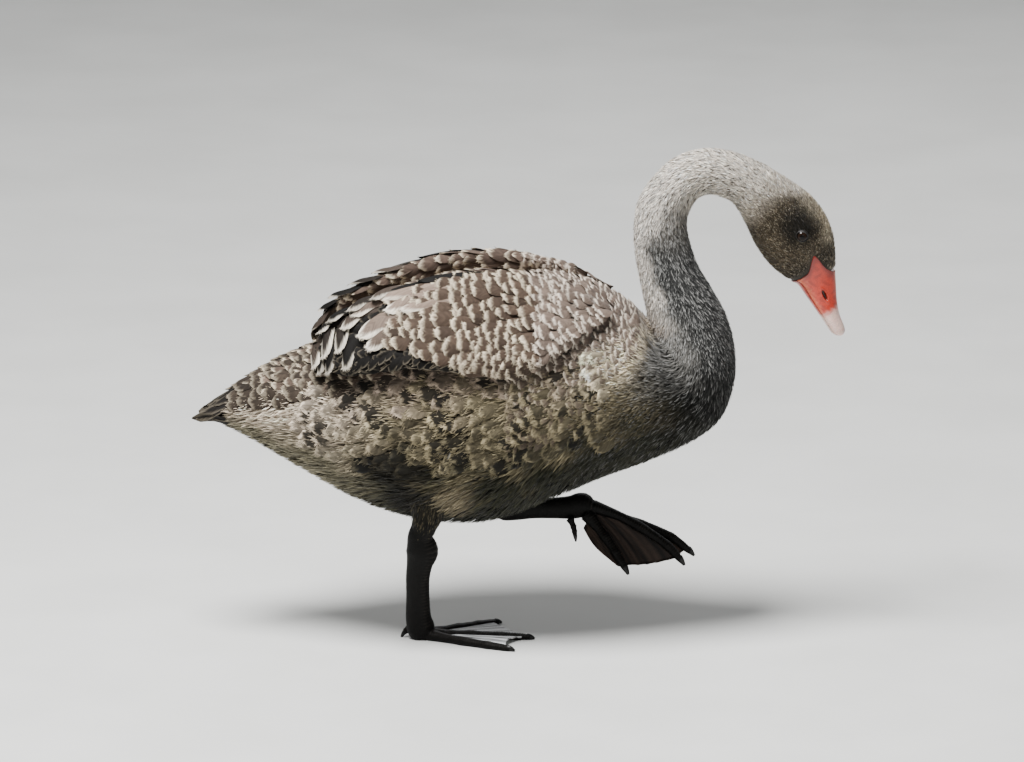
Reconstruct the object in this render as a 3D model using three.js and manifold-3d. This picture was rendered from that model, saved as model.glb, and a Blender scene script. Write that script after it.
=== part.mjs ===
// A young black swan walking on one foot, its neck arched over and its bill low in front.
// Millimetres, +Z up, bill towards +X, the bird's left side towards +Y.
// Tail, torso, neck and head are lengths of one skin, lofted through named cross-sections.
// Wings, legs, bill and eyes are solids of their own, each cut clear of what it grows from.
import * as THREE from "three";
import { mergeVertices } from "three/addons/utils/BufferGeometryUtils.js";
import Module from "manifold-3d";

const wasm = await Module();
wasm.setup();

// Driving sizes
const TOUCH_GAP = 0.3; // clearance between two pieces that meet
const ROUND = 24; // facets round the body
const BODY_STEPS = 2; // rings for each stretch between two cross-sections
const SEEDS = { leftWing: 11, rightWing: 29, tail: 5 };

// Cross-sections of the skin from the tail to the tip of the bill: the point on the back and the
// point on the belly side in side view, the half width, and how much wider the lower half is.
const SECTIONS = [
  { name: "tail end", back: [-321, 231], belly: [-321, 225], half: 13, low: 0 },
  { name: "tail", back: [-300, 247], belly: [-300, 219], half: 25, low: 0 },
  { name: "tail root", back: [-262, 274], belly: [-262, 198], half: 40, low: 0 },
  { name: "vent", back: [-221, 294], belly: [-221, 174], half: 60, low: 0.03 },
  { name: "rump", back: [-171, 314], belly: [-171, 146], half: 82, low: 0.06 },
  { name: "hind flank", back: [-121, 340], belly: [-121, 127], half: 97, low: 0.08 },
  { name: "thigh", back: [-71, 360], belly: [-71, 119], half: 105, low: 0.1 },
  { name: "keel", back: [-21, 370], belly: [-21, 123], half: 106, low: 0.1 },
  { name: "fore flank", back: [27, 373], belly: [27, 142], half: 102, low: 0.08 },
  { name: "shoulder", back: [64, 366], belly: [80, 165], half: 92, low: 0.06 },
  { name: "breast", back: [91, 353], belly: [127, 182], half: 79, low: 0.04 },
  { name: "neck root", back: [112, 338], belly: [168, 200], half: 68, low: 0 },
  { name: "crop", back: [123, 325], belly: [198, 223], half: 60, low: 0 },
  { name: "crop front", back: [128, 318], belly: [212, 258], half: 54, low: 0 },
  { name: "neck foot", back: [126, 328], belly: [213, 294], half: 48, low: 0 },
  { name: "low neck", back: [122, 347], belly: [205, 327], half: 43, low: 0 },
  { name: "mid low neck", back: [118, 366], belly: [191, 354], half: 38, low: 0 },
  { name: "mid neck", back: [114, 388], belly: [175, 382], half: 32, low: 0 },
  { name: "neck waist", back: [112, 411], belly: [166, 411], half: 28, low: 0 },
  { name: "high neck", back: [115, 443], belly: [165, 429], half: 26, low: 0 },
  { name: "arch rise", back: [129, 468], belly: [170, 442], half: 25, low: 0 },
  { name: "arch shoulder", back: [151, 489], belly: [177, 451], half: 24, low: 0 },
  { name: "arch top", back: [179, 499], belly: [187, 454], half: 24, low: 0 },
  { name: "arch fall", back: [207, 497], belly: [198, 452], half: 25, low: 0 },
  { name: "nape", back: [236, 486], belly: [211, 445], half: 26, low: 0 },
  { name: "hind crown", back: [264, 470], belly: [223, 424], half: 29, low: 0.04 },
  { name: "crown", back: [286, 454], belly: [234, 401], half: 31, low: 0.1 },
  { name: "eye", back: [301, 436], belly: [248, 382], half: 31, low: 0.1 },
  { name: "forehead", back: [310, 415], belly: [261, 371], half: 26, low: 0.1 },
  { name: "lores", back: [313, 395], belly: [269, 365], half: 20.5, low: 0.1 },
  { name: "bill root", back: [313, 378], belly: [276, 361], half: 16.5, low: 0.1 },
  { name: "bill ridge", back: [314, 360], belly: [285, 348], half: 14.6, low: 0.16 },
  { name: "nostril", back: [315, 345], belly: [294, 335], half: 13.6, low: 0.2 },
  { name: "bill band", back: [317.5, 331], belly: [302, 323], half: 13, low: 0.16 },
  { name: "nail", back: [322, 319], belly: [309, 312.5], half: 11.4, low: 0.1 },
  { name: "bill end", back: [324, 312], belly: [316, 307.5], half: 7.4, low: 0 },
];
const section = (name, past = 0) => SECTIONS.findIndex((s) => s.name === name) + past;
const LAST = SECTIONS.length - 1;

// Bill, in side view: the line where its bare skin meets the feathers runs from the forehead up
// to a peak before the eye and down to the corner of the mouth.
const BILL_EDGE = [
  [330, 375], [312, 376], [304, 380.5], [298, 388], [291.5, 399], [288.5, 388], [286, 377.5], [277, 369.5],
  [258, 360], [262, 290], [350, 290],
];
const MOUTH = { gap: 0.6, low: 0.13, rise: 0.08 }; // where the mouth lies in the bill's depth
const NOSTRIL = { x: 303, z: 353, long: 5.2, high: 1.9, deep: 3.2, pitch: 1.13 };

// Eyes
const EYE = { x: 279, z: 417, radius: 6.4, inset: 3.3 };
const LID = { radius: 6.2, tube: 1.7, squash: 0.84 };

// Cross-sections of the folded left wing from its hind end to the shoulder: the upper edge, the
// lower edge, and the half thickness.
const WING_SECTIONS = [
  { upper: [-200, 40, 318], lower: [-200, 60, 292], thick: 5 },
  { upper: [-183, 38, 336], lower: [-183, 76, 288], thick: 9 },
  { upper: [-146, 38, 356], lower: [-146, 91, 294], thick: 12 },
  { upper: [-106, 38, 372], lower: [-106, 100, 300], thick: 14 },
  { upper: [-61, 38, 383], lower: [-61, 105, 297], thick: 15 },
  { upper: [-16, 36, 384], lower: [-16, 106, 294], thick: 15 },
  { upper: [23, 33, 377], lower: [23, 102, 308], thick: 12 },
  { upper: [55, 35, 367], lower: [55, 85, 326], thick: 8 },
  { upper: [78, 42, 357], lower: [78, 66, 341], thick: 3 },
];
const WING_ROUND = 12;
const WING_STEP = 42; // length of wing from one cross-section to the next

// Feather tiers of one wing, from the lowest layer out. Each row runs across the wing: v counts
// wing cross-sections to the roots, s is their place from the upper edge (0) to the lower (1), and
// lean is how far the tips bend towards the lower edge.
const WING_TIERS = [
  { name: "secondaries", count: 8, v: [2.1, 5.5], s: [0.84, 0.92], long: 46, wide: 8, lean: [0.12, 0.1], lift: 1.6 },
  { name: "hind curls", count: 7, v: [1.7, 2.5], s: [0.06, 0.78], long: 66, wide: 8.5, lean: [0.4, 0.14], lift: 3 },
  { name: "greater coverts", count: 6, v: [2.6, 4.9], s: [0.3, 0.88], long: 44, wide: 9.5, lean: [0.08, 0.04], lift: 4.6 },
  { name: "tertials", count: 3, v: [3.6, 3.4], s: [0.06, 0.3], long: 88, wide: 12, lean: [0.14, 0.18], lift: 6 },
  { name: "middle coverts", count: 7, v: [4.0, 5.9], s: [0.06, 0.84], long: 44, wide: 9.5, lean: [0.05, 0.03], lift: 4.8 },
];

// Feather tiers of the tail, laid over its back: u counts cross-sections from the tips to the
// roots, and across is how far the outermost feather lies from the middle at its root and its tip
const TAIL_TIERS = [
  { name: "tail feathers", count: 8, u: [2.2, 0], across: [10, 31], wide: 6.5, lift: 0.8 },
  { name: "upper tail coverts", count: 6, u: [2.3, 0.7], across: [13, 27], wide: 8, lift: 2.6 },
  { name: "short tail coverts", count: 5, u: [2.36, 1.4], across: [16, 25], wide: 9, lift: 4 },
];
const TAIL_CORE = 0.7; // the cross-section at which the flesh under the tail feathers ends
const TAIL_ARCH = 0.009; // drop of the feathers with the square of their distance from the middle

// Legs, as points from the hip down with the half depth fore and aft and the half width, and the
// stations at which the shank begins and ends
const RIGHT_LEG = [
  { point: [-90, -50, 196], deep: 32, wide: 24 },
  { point: [-91, -54, 161], deep: 26, wide: 19 },
  { point: [-94, -53, 138], deep: 17, wide: 14 },
  { point: [-98, -50, 123], deep: 12.5, wide: 10.5 },
  { point: [-101.5, -48, 113], deep: 12.4, wide: 9.5 },
  { point: [-99.5, -45, 98], deep: 16, wide: 11 },
  { point: [-102, -42, 84], deep: 13, wide: 9 },
  { point: [-104, -38, 68], deep: 11.8, wide: 7.4 },
  { point: [-104, -31, 46], deep: 11.6, wide: 7 },
  { point: [-103.5, -24, 24], deep: 12.6, wide: 8.4 },
  { point: [-101, -20, 11], deep: 14, wide: 11 },
  { point: [-99, -18, -2], deep: 12, wide: 11 },
];
const RIGHT_CUTS = { ankle: 3, foot: 9 };
const LEFT_THIGH = [
  { point: [14, 54, 200], deep: 30, wide: 24 },
  { point: [4, 55, 170], deep: 25, wide: 20 },
  { point: [-7, 51, 146], deep: 18, wide: 15 },
  { point: [-14, 46, 124], deep: 12, wide: 10 },
];
const LEFT_LEG = [
  { point: [-27, 43.5, 119], deep: 8, wide: 6.5 },
  { point: [-18, 43, 119], deep: 12.5, wide: 9.5 },
  { point: [-5, 42, 119], deep: 12, wide: 8.8 },
  { point: [12, 41, 119.5], deep: 10.6, wide: 7 },
  { point: [32, 40, 120], deep: 10.8, wide: 6.8 },
  { point: [50, 39, 121], deep: 12, wide: 8 },
  { point: [61, 38.5, 123.5], deep: 12.6, wide: 10 },
  { point: [70, 38, 122], deep: 8.5, wide: 9.5 },
];
const LEFT_CUTS = { foot: 5 };

// Feet: the line of each toe from the foot's root to its tip, which its claw runs on from, and the
// line of the narrow flap beside the inner toe. The free edge of a web curves in by its notch.
const TOE = { base: 5.8, tip: 3.2, claw: 9, round: 8 };
const WEB = { half: 0.8, notch: 0.07 };
const RIGHT_FOOT = {
  inner: [[-97, -16, 4.4], [-60, 10, 3.6], [-24, 36, 2.4]],
  middle: [[-97, -18, 4.6], [-45, -21, 4], [9, -23, 2.4]],
  outer: [[-97, -20, 4.4], [-54, -46, 3.6], [-11, -68, 2.4]],
  hind: [[-108, -16, 14], [-114, -15, 9], [-118, -14, 4]],
  flap: [[-99, -6, 3], [-66, 22, 2.4], [-30, 38, 2.4]],
  sag: 0,
};
const LEFT_FOOT = {
  inner: [[66, 33, 115], [86, 23, 91], [104, 12, 65]],
  middle: [[66, 38, 124], [104, 38, 109], [142, 38, 85], [160, 38, 67]],
  outer: [[67, 41, 122], [104, 49, 106], [145, 57, 88], [170, 63, 69]],
  hind: [[49, 32, 111], [52.5, 30, 102], [54, 28.5, 94]],
  flap: [[61, 31, 104], [74, 18, 86], [98, 9, 67]],
  sag: 7,
};

// Repeatable random numbers from 0 to 1
function randomFrom(seed) {
  let state = seed;
  return () => {
    state = (state * 1664525 + 1013904223) % 4294967296;
    return state / 4294967296;
  };
}

const mix = THREE.MathUtils.lerp;
const at = (x, y, z) => new THREE.Vector3(x, y, z);
const spot = (list) => new THREE.Vector3(...list);

// A smooth curve through points, read by their index
function throughPoints(points) {
  const curve = new THREE.CatmullRomCurve3(points, false, "catmullrom", 0.5);
  return (u) => curve.getPoint(THREE.MathUtils.clamp(u / (points.length - 1), 0, 1));
}

// Closed meshes

function signedVolume(geometry) {
  const place = geometry.getAttribute("position");
  const index = geometry.index;
  const [a, b, c] = [at(0, 0, 0), at(0, 0, 0), at(0, 0, 0)];
  let volume = 0;
  for (let i = 0; i < index.count; i += 3) {
    a.fromBufferAttribute(place, index.getX(i));
    b.fromBufferAttribute(place, index.getX(i + 1));
    c.fromBufferAttribute(place, index.getX(i + 2));
    volume += a.dot(b.cross(c)) / 6;
  }
  return volume;
}

// Geometry from points and faces, turned so that its faces point out
function closedGeometry(points, faces) {
  const geometry = new THREE.BufferGeometry().setFromPoints(points);
  geometry.setIndex(faces);
  if (signedVolume(geometry) < 0) {
    for (let i = 0; i < faces.length; i += 3) [faces[i], faces[i + 1]] = [faces[i + 1], faces[i]];
    geometry.setIndex(faces);
  }
  return geometry;
}

// A closed body through rings of equal point counts, with a fan to a point at each end
function loft(rings, firstEnd, lastEnd) {
  const count = rings[0].length;
  const points = rings.flat().concat([firstEnd, lastEnd]);
  const first = rings.length * count;
  const top = (rings.length - 1) * count;
  const faces = [];
  for (let j = 0; j < count; j++) {
    const k = (j + 1) % count;
    for (let i = 0; i < top; i += count)
      faces.push(i + j, i + k, i + j + count, i + k, i + k + count, i + j + count);
    faces.push(first, k, j, first + 1, top + j, top + k);
  }
  return closedGeometry(points, faces);
}

const middleOf = (ring) => ring.reduce((sum, p) => sum.add(p), at(0, 0, 0)).divideScalar(ring.length);

// A thin plate over a grid of points. Both faces are split into the same triangles, so they
// can't cross. halfAt gives half the thickness at a row and a column.
function plate(grid, halfAt) {
  const rows = grid.length;
  const columns = grid[0].length;
  const over = [];
  const under = [];
  for (let i = 0; i < rows; i++)
    for (let j = 0; j < columns; j++) {
      const along = grid[Math.min(i + 1, rows - 1)][j].clone().sub(grid[Math.max(i - 1, 0)][j]);
      const across = grid[i][Math.min(j + 1, columns - 1)].clone().sub(grid[i][Math.max(j - 1, 0)]);
      const normal = along.cross(across).normalize();
      over.push(grid[i][j].clone().addScaledVector(normal, halfAt(i, j)));
      under.push(grid[i][j].clone().addScaledVector(normal, -halfAt(i, j)));
    }
  const n = over.length;
  const faces = [];
  const wall = (a, b) => faces.push(a, b, n + b, a, n + b, n + a);
  for (let i = 0; i < rows - 1; i++) {
    for (let j = 0; j < columns - 1; j++) {
      const a = i * columns + j;
      const d = a + columns;
      faces.push(a, d, d + 1, a, d + 1, a + 1);
      faces.push(n + a, n + d + 1, n + d, n + a, n + a + 1, n + d + 1);
    }
    wall(i * columns + columns, i * columns);
    wall(i * columns + columns - 1, i * columns + 2 * columns - 1);
  }
  for (let j = 0; j < columns - 1; j++) {
    wall(j, j + 1);
    wall((rows - 1) * columns + j + 1, (rows - 1) * columns + j);
  }
  return closedGeometry([...over, ...under], faces);
}

// A side view outline as a block across the whole bird
function block(outline, half = 70) {
  const shape = new THREE.Shape(outline.map(([x, z]) => new THREE.Vector2(x, z)));
  const geometry = new THREE.ExtrudeGeometry(shape, { depth: 2 * half, bevelEnabled: false });
  return geometry.rotateX(Math.PI / 2).translate(0, half, 0);
}

// The outline moved out by a margin, at each of its corners
function widened(outline, margin) {
  const corners = outline.map(([x, z]) => new THREE.Vector2(x, z));
  const turning = Math.sign(THREE.ShapeUtils.area(corners));
  return corners.map((corner, i) => {
    const before = corner.clone().sub(corners.at(i - 1)).normalize();
    const after = corners[(i + 1) % corners.length].clone().sub(corner).normalize();
    const out = new THREE.Vector2(before.y + after.y, -before.x - after.x).multiplyScalar(turning);
    const stretch = margin / Math.max(0.3, (1 + before.dot(after)) / 2);
    return [corner.x + (out.x / 2) * stretch, corner.y + (out.y / 2) * stretch];
  });
}

// Joining and cutting

function solid(geometry) {
  const bare = new THREE.BufferGeometry().setAttribute("position", geometry.getAttribute("position"));
  if (geometry.index) bare.setIndex(geometry.index);
  const merged = mergeVertices(bare, 1e-4);
  const triVerts = new Uint32Array(merged.index.array);
  return new wasm.Manifold(
    new wasm.Mesh({ numProp: 3, vertProperties: merged.attributes.position.array, triVerts }),
  );
}

const joined = (geometries) => geometries.map(solid).reduce((sum, piece) => sum.add(piece));
const bySize = (body) => body.decompose().sort((a, b) => b.volume() - a.volume());

function geometryOf(body) {
  const mesh = bySize(body)[0].getMesh();
  return new THREE.BufferGeometry()
    .setAttribute("position", new THREE.BufferAttribute(new Float32Array(mesh.vertProperties), 3))
    .setIndex(new THREE.BufferAttribute(new Uint32Array(mesh.triVerts), 1));
}

// A geometry made for the left side, or its mirror image for the right
function sided(geometry, side) {
  if (side > 0) return geometry;
  const place = geometry.getAttribute("position");
  const points = Array.from({ length: place.count }, (_, i) =>
    at(place.getX(i), -place.getY(i), place.getZ(i)),
  );
  return closedGeometry(points, Array.from(geometry.index.array));
}

// The skin

const backAt = throughPoints(SECTIONS.map((s) => at(s.back[0], 0, s.back[1])));
const bellyAt = throughPoints(SECTIONS.map((s) => at(s.belly[0], 0, s.belly[1])));
const widthAt = throughPoints(SECTIONS.map((s) => at(s.half, s.low, 0)));

function sectionAt(u) {
  const back = backAt(u);
  const belly = bellyAt(u);
  const centre = back.clone().add(belly).multiplyScalar(0.5);
  const up = back.clone().sub(belly).multiplyScalar(0.5);
  const forward = at(up.z, 0, -up.x).normalize();
  return { centre, up, forward, half: widthAt(u).x, low: widthAt(u).y };
}

// One point on the skin: turn is the angle from the back towards the left side
function skinPoint(u, turn, grow = 0) {
  const { centre, up, half, low } = sectionAt(u);
  const height = up.length();
  const across = Math.sin(turn) * (half + grow) * (1 - low * Math.cos(turn));
  return centre.addScaledVector(up, (Math.cos(turn) * (height + grow)) / height).setY(across);
}

// A length of the skin. Each end stands back from its cut by holdBack.
function skinLength(from, to, grow = 0, holdBack = TOUCH_GAP / 2) {
  const count = Math.max(2, Math.round((to - from) * BODY_STEPS));
  const rings = Array.from({ length: count + 1 }, (_, i) => {
    const u = mix(from, to, i / count);
    const back = i === 0 ? holdBack : i === count ? -holdBack : 0;
    const shift = sectionAt(u).forward.multiplyScalar(back);
    return Array.from({ length: ROUND }, (_, j) =>
      skinPoint(u, (j / ROUND) * Math.PI * 2, grow).add(shift),
    );
  });
  return loft(rings, middleOf(rings[0]), middleOf(rings[count]));
}

const CUTS = {
  tail: section("tail root", 0.4),
  neckRoot: section("neck root"),
  neckFoot: section("neck foot", 0.5),
  waist: section("neck waist"),
  archTop: section("arch top"),
  nape: section("nape", 0.5),
};
const torsoGrown = solid(skinLength(CUTS.tail, CUTS.neckRoot, TOUCH_GAP, -TOUCH_GAP / 2));

// Head, bill and eyes

// The place on the head's side at the eye, and how far out it is
function eyeSpot() {
  const { centre, up, half, low } = sectionAt(section("eye", -0.15));
  const rise = at(EYE.x, 0, EYE.z).sub(centre).dot(up) / up.lengthSq();
  return Math.sqrt(1 - rise * rise) * half * (1 - low * rise);
}

function eyeBall(side, grow = 0) {
  const ball = new THREE.SphereGeometry(EYE.radius + grow, 14, 9);
  return ball.translate(EYE.x, side * (eyeSpot() - EYE.inset), EYE.z);
}

function eyeLids(side) {
  const ring = new THREE.TorusGeometry(LID.radius, LID.tube, 6, 18).scale(1, LID.squash, 1);
  return ring.rotateX(Math.PI / 2).rotateY(0.7).translate(EYE.x, side * (eyeSpot() - 0.9), EYE.z);
}

// The slit of the mouth as a thin block that follows the bill
function mouthSlit() {
  const line = [];
  for (let u = section("forehead"); u <= LAST; u += 0.5) {
    const { centre, up } = sectionAt(u);
    const level = MOUTH.low + (MOUTH.rise * (u - section("bill root"))) / (LAST - section("bill root"));
    line.push(centre.addScaledVector(up, 2 * level - 1));
  }
  const runOut = line.at(-1).clone().sub(line.at(-2)).normalize().multiplyScalar(20);
  line.push(line.at(-1).clone().add(runOut));
  const across = at(0.9, 0, 0.43).multiplyScalar(MOUTH.gap / 2);
  const upper = line.map((p) => [p.x + across.x, p.z + across.z]);
  const lower = line.map((p) => [p.x - across.x, p.z - across.z]).reverse();
  return block([...upper, ...lower]);
}

function nostril(side) {
  const pit = new THREE.SphereGeometry(1, 10, 8).scale(NOSTRIL.long, NOSTRIL.deep, NOSTRIL.high);
  const out = widthAt(section("nostril", -0.4)).x;
  return pit.rotateY(NOSTRIL.pitch).translate(NOSTRIL.x, side * out, NOSTRIL.z);
}

// The region past the bill band, which the pale tip of the upper bill fills
function tipRegion(back) {
  const { centre, up, forward } = sectionAt(section("bill band", -0.25));
  const near = centre.clone().addScaledVector(forward, back);
  const side = up.clone().normalize().multiplyScalar(30);
  const far = near.clone().addScaledVector(forward, 60);
  return solid(block([near.clone().add(side), far.clone().add(side), far.sub(side), near.sub(side)].map(
    (p) => [p.x, p.z],
  )));
}

function headParts() {
  const whole = solid(skinLength(CUTS.nape, LAST));
  const lids = joined([1, -1].map(eyeLids));
  const eyes = joined([1, -1].map((side) => eyeBall(side, TOUCH_GAP)));
  const head = whole.subtract(solid(block(widened(BILL_EDGE, TOUCH_GAP)))).add(lids).subtract(eyes);
  const bill = whole.intersect(solid(block(BILL_EDGE)));
  const [upper, lower] = bySize(bill.subtract(solid(mouthSlit())));
  const pierced = upper.subtract(joined([1, -1].map(nostril)));
  return {
    head,
    bill_upper: pierced.subtract(tipRegion(-TOUCH_GAP / 2)),
    bill_tip: pierced.intersect(tipRegion(TOUCH_GAP / 2)),
    bill_lower: lower,
  };
}

// Feathers

// Half width of a feather along its length: narrow root, broad middle, rounded end
const vaneShape = (t) => mix(0.6, 1, Math.min(1, t * 2.4)) * Math.sqrt(Math.max(0.12, 1 - t ** 5));
const VANE_THICK = { root: 0.8, end: 0.45, edge: 0.7 };
const VANE_TILT = 0.22; // each vane lies with one edge over its neighbour

// A vane along a midline: placeAt gives its point, its side direction and its normal along it
function vane(placeAt, wide, rows, tilt = VANE_TILT) {
  const grid = Array.from({ length: rows }, (_, i) => {
    const t = i / (rows - 1);
    const { point, side, normal } = placeAt(t);
    const half = wide * vaneShape(t);
    const slant = side.clone().addScaledVector(normal, tilt);
    return [-1, 0, 1].map((edge) => point.clone().addScaledVector(slant, edge * half));
  });
  return plate(grid, (i, j) => {
    const thick = mix(VANE_THICK.root, VANE_THICK.end, i / (rows - 1));
    return j === 1 ? thick : thick * VANE_THICK.edge;
  });
}

// Wings

const wingUpperAt = throughPoints(WING_SECTIONS.map((s) => spot(s.upper)));
const wingLowerAt = throughPoints(WING_SECTIONS.map((s) => spot(s.lower)));
const wingThickAt = throughPoints(WING_SECTIONS.map((s) => at(s.thick, 0, 0)));

// A point on the wing: turn 0 is the upper edge and half a turn the lower edge
function wingPoint(v, turn) {
  const upper = wingUpperAt(v);
  const across = upper.clone().sub(wingLowerAt(v)).multiplyScalar(0.5);
  const out = at(0, across.z, -across.y).normalize();
  return upper
    .sub(across)
    .addScaledVector(across, Math.cos(turn))
    .addScaledVector(out, Math.sin(turn) * wingThickAt(v).x);
}

// The outer face of the wing. Past the hind end it runs straight on.
function wingFace(v, s, lift) {
  const held = Math.max(v, 0.25);
  const turn = mix(0.12, 0.95, s) * Math.PI;
  const step = 0.05;
  const point = wingPoint(held, turn);
  const ahead = wingPoint(held + step, turn).sub(point);
  const around = wingPoint(held, turn + step).sub(point);
  const normal = around.cross(ahead).normalize();
  point.addScaledVector(ahead, (v - held) / step).addScaledVector(normal, lift);
  return { point, normal, side: normal.clone().cross(ahead).normalize() };
}

function wingVanes(random) {
  return WING_TIERS.flatMap((tier) =>
    Array.from({ length: tier.count }, (_, k) => {
      const f = k / (tier.count - 1);
      const v = mix(...tier.v, f);
      const s = mix(...tier.s, f);
      const long = (tier.long * mix(0.92, 1.06, random())) / WING_STEP;
      const lean = mix(...tier.lean, f) * mix(0.7, 1.3, random());
      const placeAt = (t) => wingFace(v - t * long, s + t * t * lean, mix(-2.5, tier.lift, Math.sqrt(t)));
      return vane(placeAt, tier.wide, tier.long > 60 ? 5 : 4);
    }),
  );
}

function wing(side, seed) {
  const last = WING_SECTIONS.length - 1;
  const rings = Array.from({ length: last + 1 }, (_, i) =>
    Array.from({ length: WING_ROUND }, (_, j) => wingPoint(i, (j / WING_ROUND) * Math.PI * 2)),
  );
  const ends = [middleOf(rings[0]).add(at(-4, 0, 0)), middleOf(rings.at(-1)).add(at(6, 0, 0))];
  const pieces = [loft(rings, ...ends), ...wingVanes(randomFrom(seed))];
  return joined(pieces.map((piece) => sided(piece, side))).subtract(torsoGrown);
}

// Tail

// A point over the tail's back, at a distance from its middle, and the way up from there
function tailTop(u, across, lift) {
  const slope = backAt(u + 0.1).sub(backAt(u));
  const up = at(-slope.z, 0, slope.x).normalize();
  const drop = TAIL_ARCH * across * across;
  return { point: backAt(u).addScaledVector(up, lift).add(at(0, across, -drop)), up };
}

function tailVanes(random) {
  return TAIL_TIERS.flatMap((tier) =>
    Array.from({ length: tier.count }, (_, k) => {
      const f = (2 * k) / (tier.count - 1) - 1;
      const shorter = 0.7 * f * f + 0.1 * random();
      const placeAt = (t) => {
        const u = mix(tier.u[0], tier.u[1] + shorter, t);
        const lift = mix(-5, tier.lift, Math.sqrt(t));
        const { point, up } = tailTop(u, f * mix(...tier.across, t), lift);
        const normal = up.add(at(0, 0.5 * f, 0)).normalize();
        return { point, side: normal.clone().cross(at(1, 0, 0)).normalize(), normal };
      };
      return vane(placeAt, tier.wide, 4, Math.sign(f) * VANE_TILT);
    }),
  );
}

function tail() {
  const pieces = [skinLength(TAIL_CORE, CUTS.tail), ...tailVanes(randomFrom(SEEDS.tail))];
  return joined(pieces).subtract(torsoGrown);
}

// Legs

// A limb through points, each with its half depth and half width, in rings square to its line.
// An end that is a cut stands back by half the gap.
function limb(stations, { from = 0, to = stations.length - 1, grow = 0, round = 12, steps = 2 } = {}) {
  const lineAt = throughPoints(stations.map((s) => spot(s.point)));
  const sizeAt = throughPoints(stations.map((s) => at(s.deep + grow, s.wide + grow, 0)));
  const count = (to - from) * steps;
  const rings = Array.from({ length: count + 1 }, (_, i) => {
    const u = from + i / steps;
    const ahead = lineAt(u + 0.1).sub(lineAt(u - 0.1)).normalize();
    const side = at(0, 1, 0).addScaledVector(ahead, -ahead.y).normalize();
    const front = side.clone().cross(ahead);
    const size = sizeAt(u);
    const cut = (i === 0 && from > 0) - (i === count && to < stations.length - 1);
    const centre = lineAt(u).addScaledVector(ahead, (cut * TOUCH_GAP) / 2);
    return Array.from({ length: round }, (_, j) => {
      const turn = (j / round) * Math.PI * 2;
      return centre
        .clone()
        .addScaledVector(front, Math.cos(turn) * size.x)
        .addScaledVector(side, Math.sin(turn) * size.y);
    });
  });
  return loft(rings, middleOf(rings[0]), middleOf(rings[count]));
}

// The line of a toe, read from 0 at its root to 1 at its tip
function toeLine(points) {
  const lineAt = throughPoints(points.map(spot));
  return (t) => lineAt(t * (points.length - 1));
}

// A toe swells at its joints, and its claw bends down from its tip
function toe(line, thickness = 1) {
  const swell = [[0, 1], [0.18, 0.9], [0.38, 0.84], [0.45, 0.92], [0.66, 0.76], [0.73, 0.84], [0.9, 0.7], [1, 0.5]];
  const stations = swell.map(([t, size]) => ({
    point: line(t).toArray(),
    deep: TOE.base * size * thickness * 0.86,
    wide: TOE.base * size * thickness,
  }));
  const ahead = line(1).sub(line(0.92)).normalize();
  const claw = [0, 0.5, 1].map((t) => ({
    point: line(0.96).add(at(0, 0, 0.6 - 1.6 * t * t)).addScaledVector(ahead, t * TOE.claw * thickness).toArray(),
    deep: TOE.tip * thickness * (1 - 0.8 * t),
    wide: TOE.tip * thickness * (0.9 - 0.66 * t),
  }));
  return [limb(stations, { round: TOE.round, steps: 1 }), limb(claw, { round: 6, steps: 1 })];
}

// The web between two toes, whose free edge curves in and which sags between them
function web(first, second, reach, sag, notch = WEB.notch) {
  const rows = 6;
  const columns = 5;
  const grid = Array.from({ length: rows }, (_, i) =>
    Array.from({ length: columns }, (_, j) => {
      const across = j / (columns - 1);
      const bow = Math.sin(Math.PI * across);
      const along = mix(0.06, mix(...reach, across) - notch * bow, i / (rows - 1));
      return first(along).lerp(second(along), across).add(at(0, 0, (-sag * bow * i) / (rows - 1)));
    }),
  );
  return plate(grid, () => WEB.half);
}

function foot(leg, from, shape) {
  const [inner, middle, outer, hind, flap] = ["inner", "middle", "outer", "hind", "flap"].map((name) =>
    toeLine(shape[name]),
  );
  return joined([
    limb(leg, { from }),
    ...[inner, middle, outer].flatMap((line) => toe(line)),
    ...toe(hind, 0.5),
    web(flap, inner, [0.97, 0.97], 0, 0),
    web(inner, middle, [0.93, 0.95], shape.sag),
    web(middle, outer, [0.95, 0.94], shape.sag),
  ]);
}

// The floor takes a small flat off whatever reaches it
const floor = solid(new THREE.BoxGeometry(800, 400, 40).translate(0, 0, -20));

// The bird, each sub-part in its own mesh

const finish = (color, roughness) => new THREE.MeshStandardMaterial({ color, roughness, metalness: 0 });
const plumage = finish(0x7b7064, 0.95);
const neckPlumage = finish(0x5c5a58, 0.9);
const headPlumage = finish(0x4a423b, 0.95);
const billSkin = finish(0xc8452f, 0.4);
const paleTip = finish(0xe6c6c0, 0.4);
const legSkin = finish(0x171514, 0.55);
const eyeGloss = finish(0x120d0b, 0.08);

const bird = new THREE.Group();
function show(name, geometry, material) {
  const mesh = new THREE.Mesh(geometry, material);
  mesh.name = name;
  bird.add(mesh);
}

show("tail", geometryOf(tail()), plumage);
show("torso", skinLength(CUTS.tail, CUTS.neckRoot), plumage);
show("neck_root", skinLength(CUTS.neckRoot, CUTS.neckFoot), neckPlumage);
show("neck_low", skinLength(CUTS.neckFoot, CUTS.waist), neckPlumage);
show("neck_rise", skinLength(CUTS.waist, CUTS.archTop), neckPlumage);
show("neck_fall", skinLength(CUTS.archTop, CUTS.nape), neckPlumage);

const { head, bill_upper, bill_tip, bill_lower } = headParts();
show("head", geometryOf(head), headPlumage);
show("bill_upper", geometryOf(bill_upper), billSkin);
show("bill_tip", geometryOf(bill_tip), paleTip);
show("bill_lower", geometryOf(bill_lower), billSkin);
show("eye_left", eyeBall(1), eyeGloss);
show("eye_right", eyeBall(-1), eyeGloss);

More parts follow.
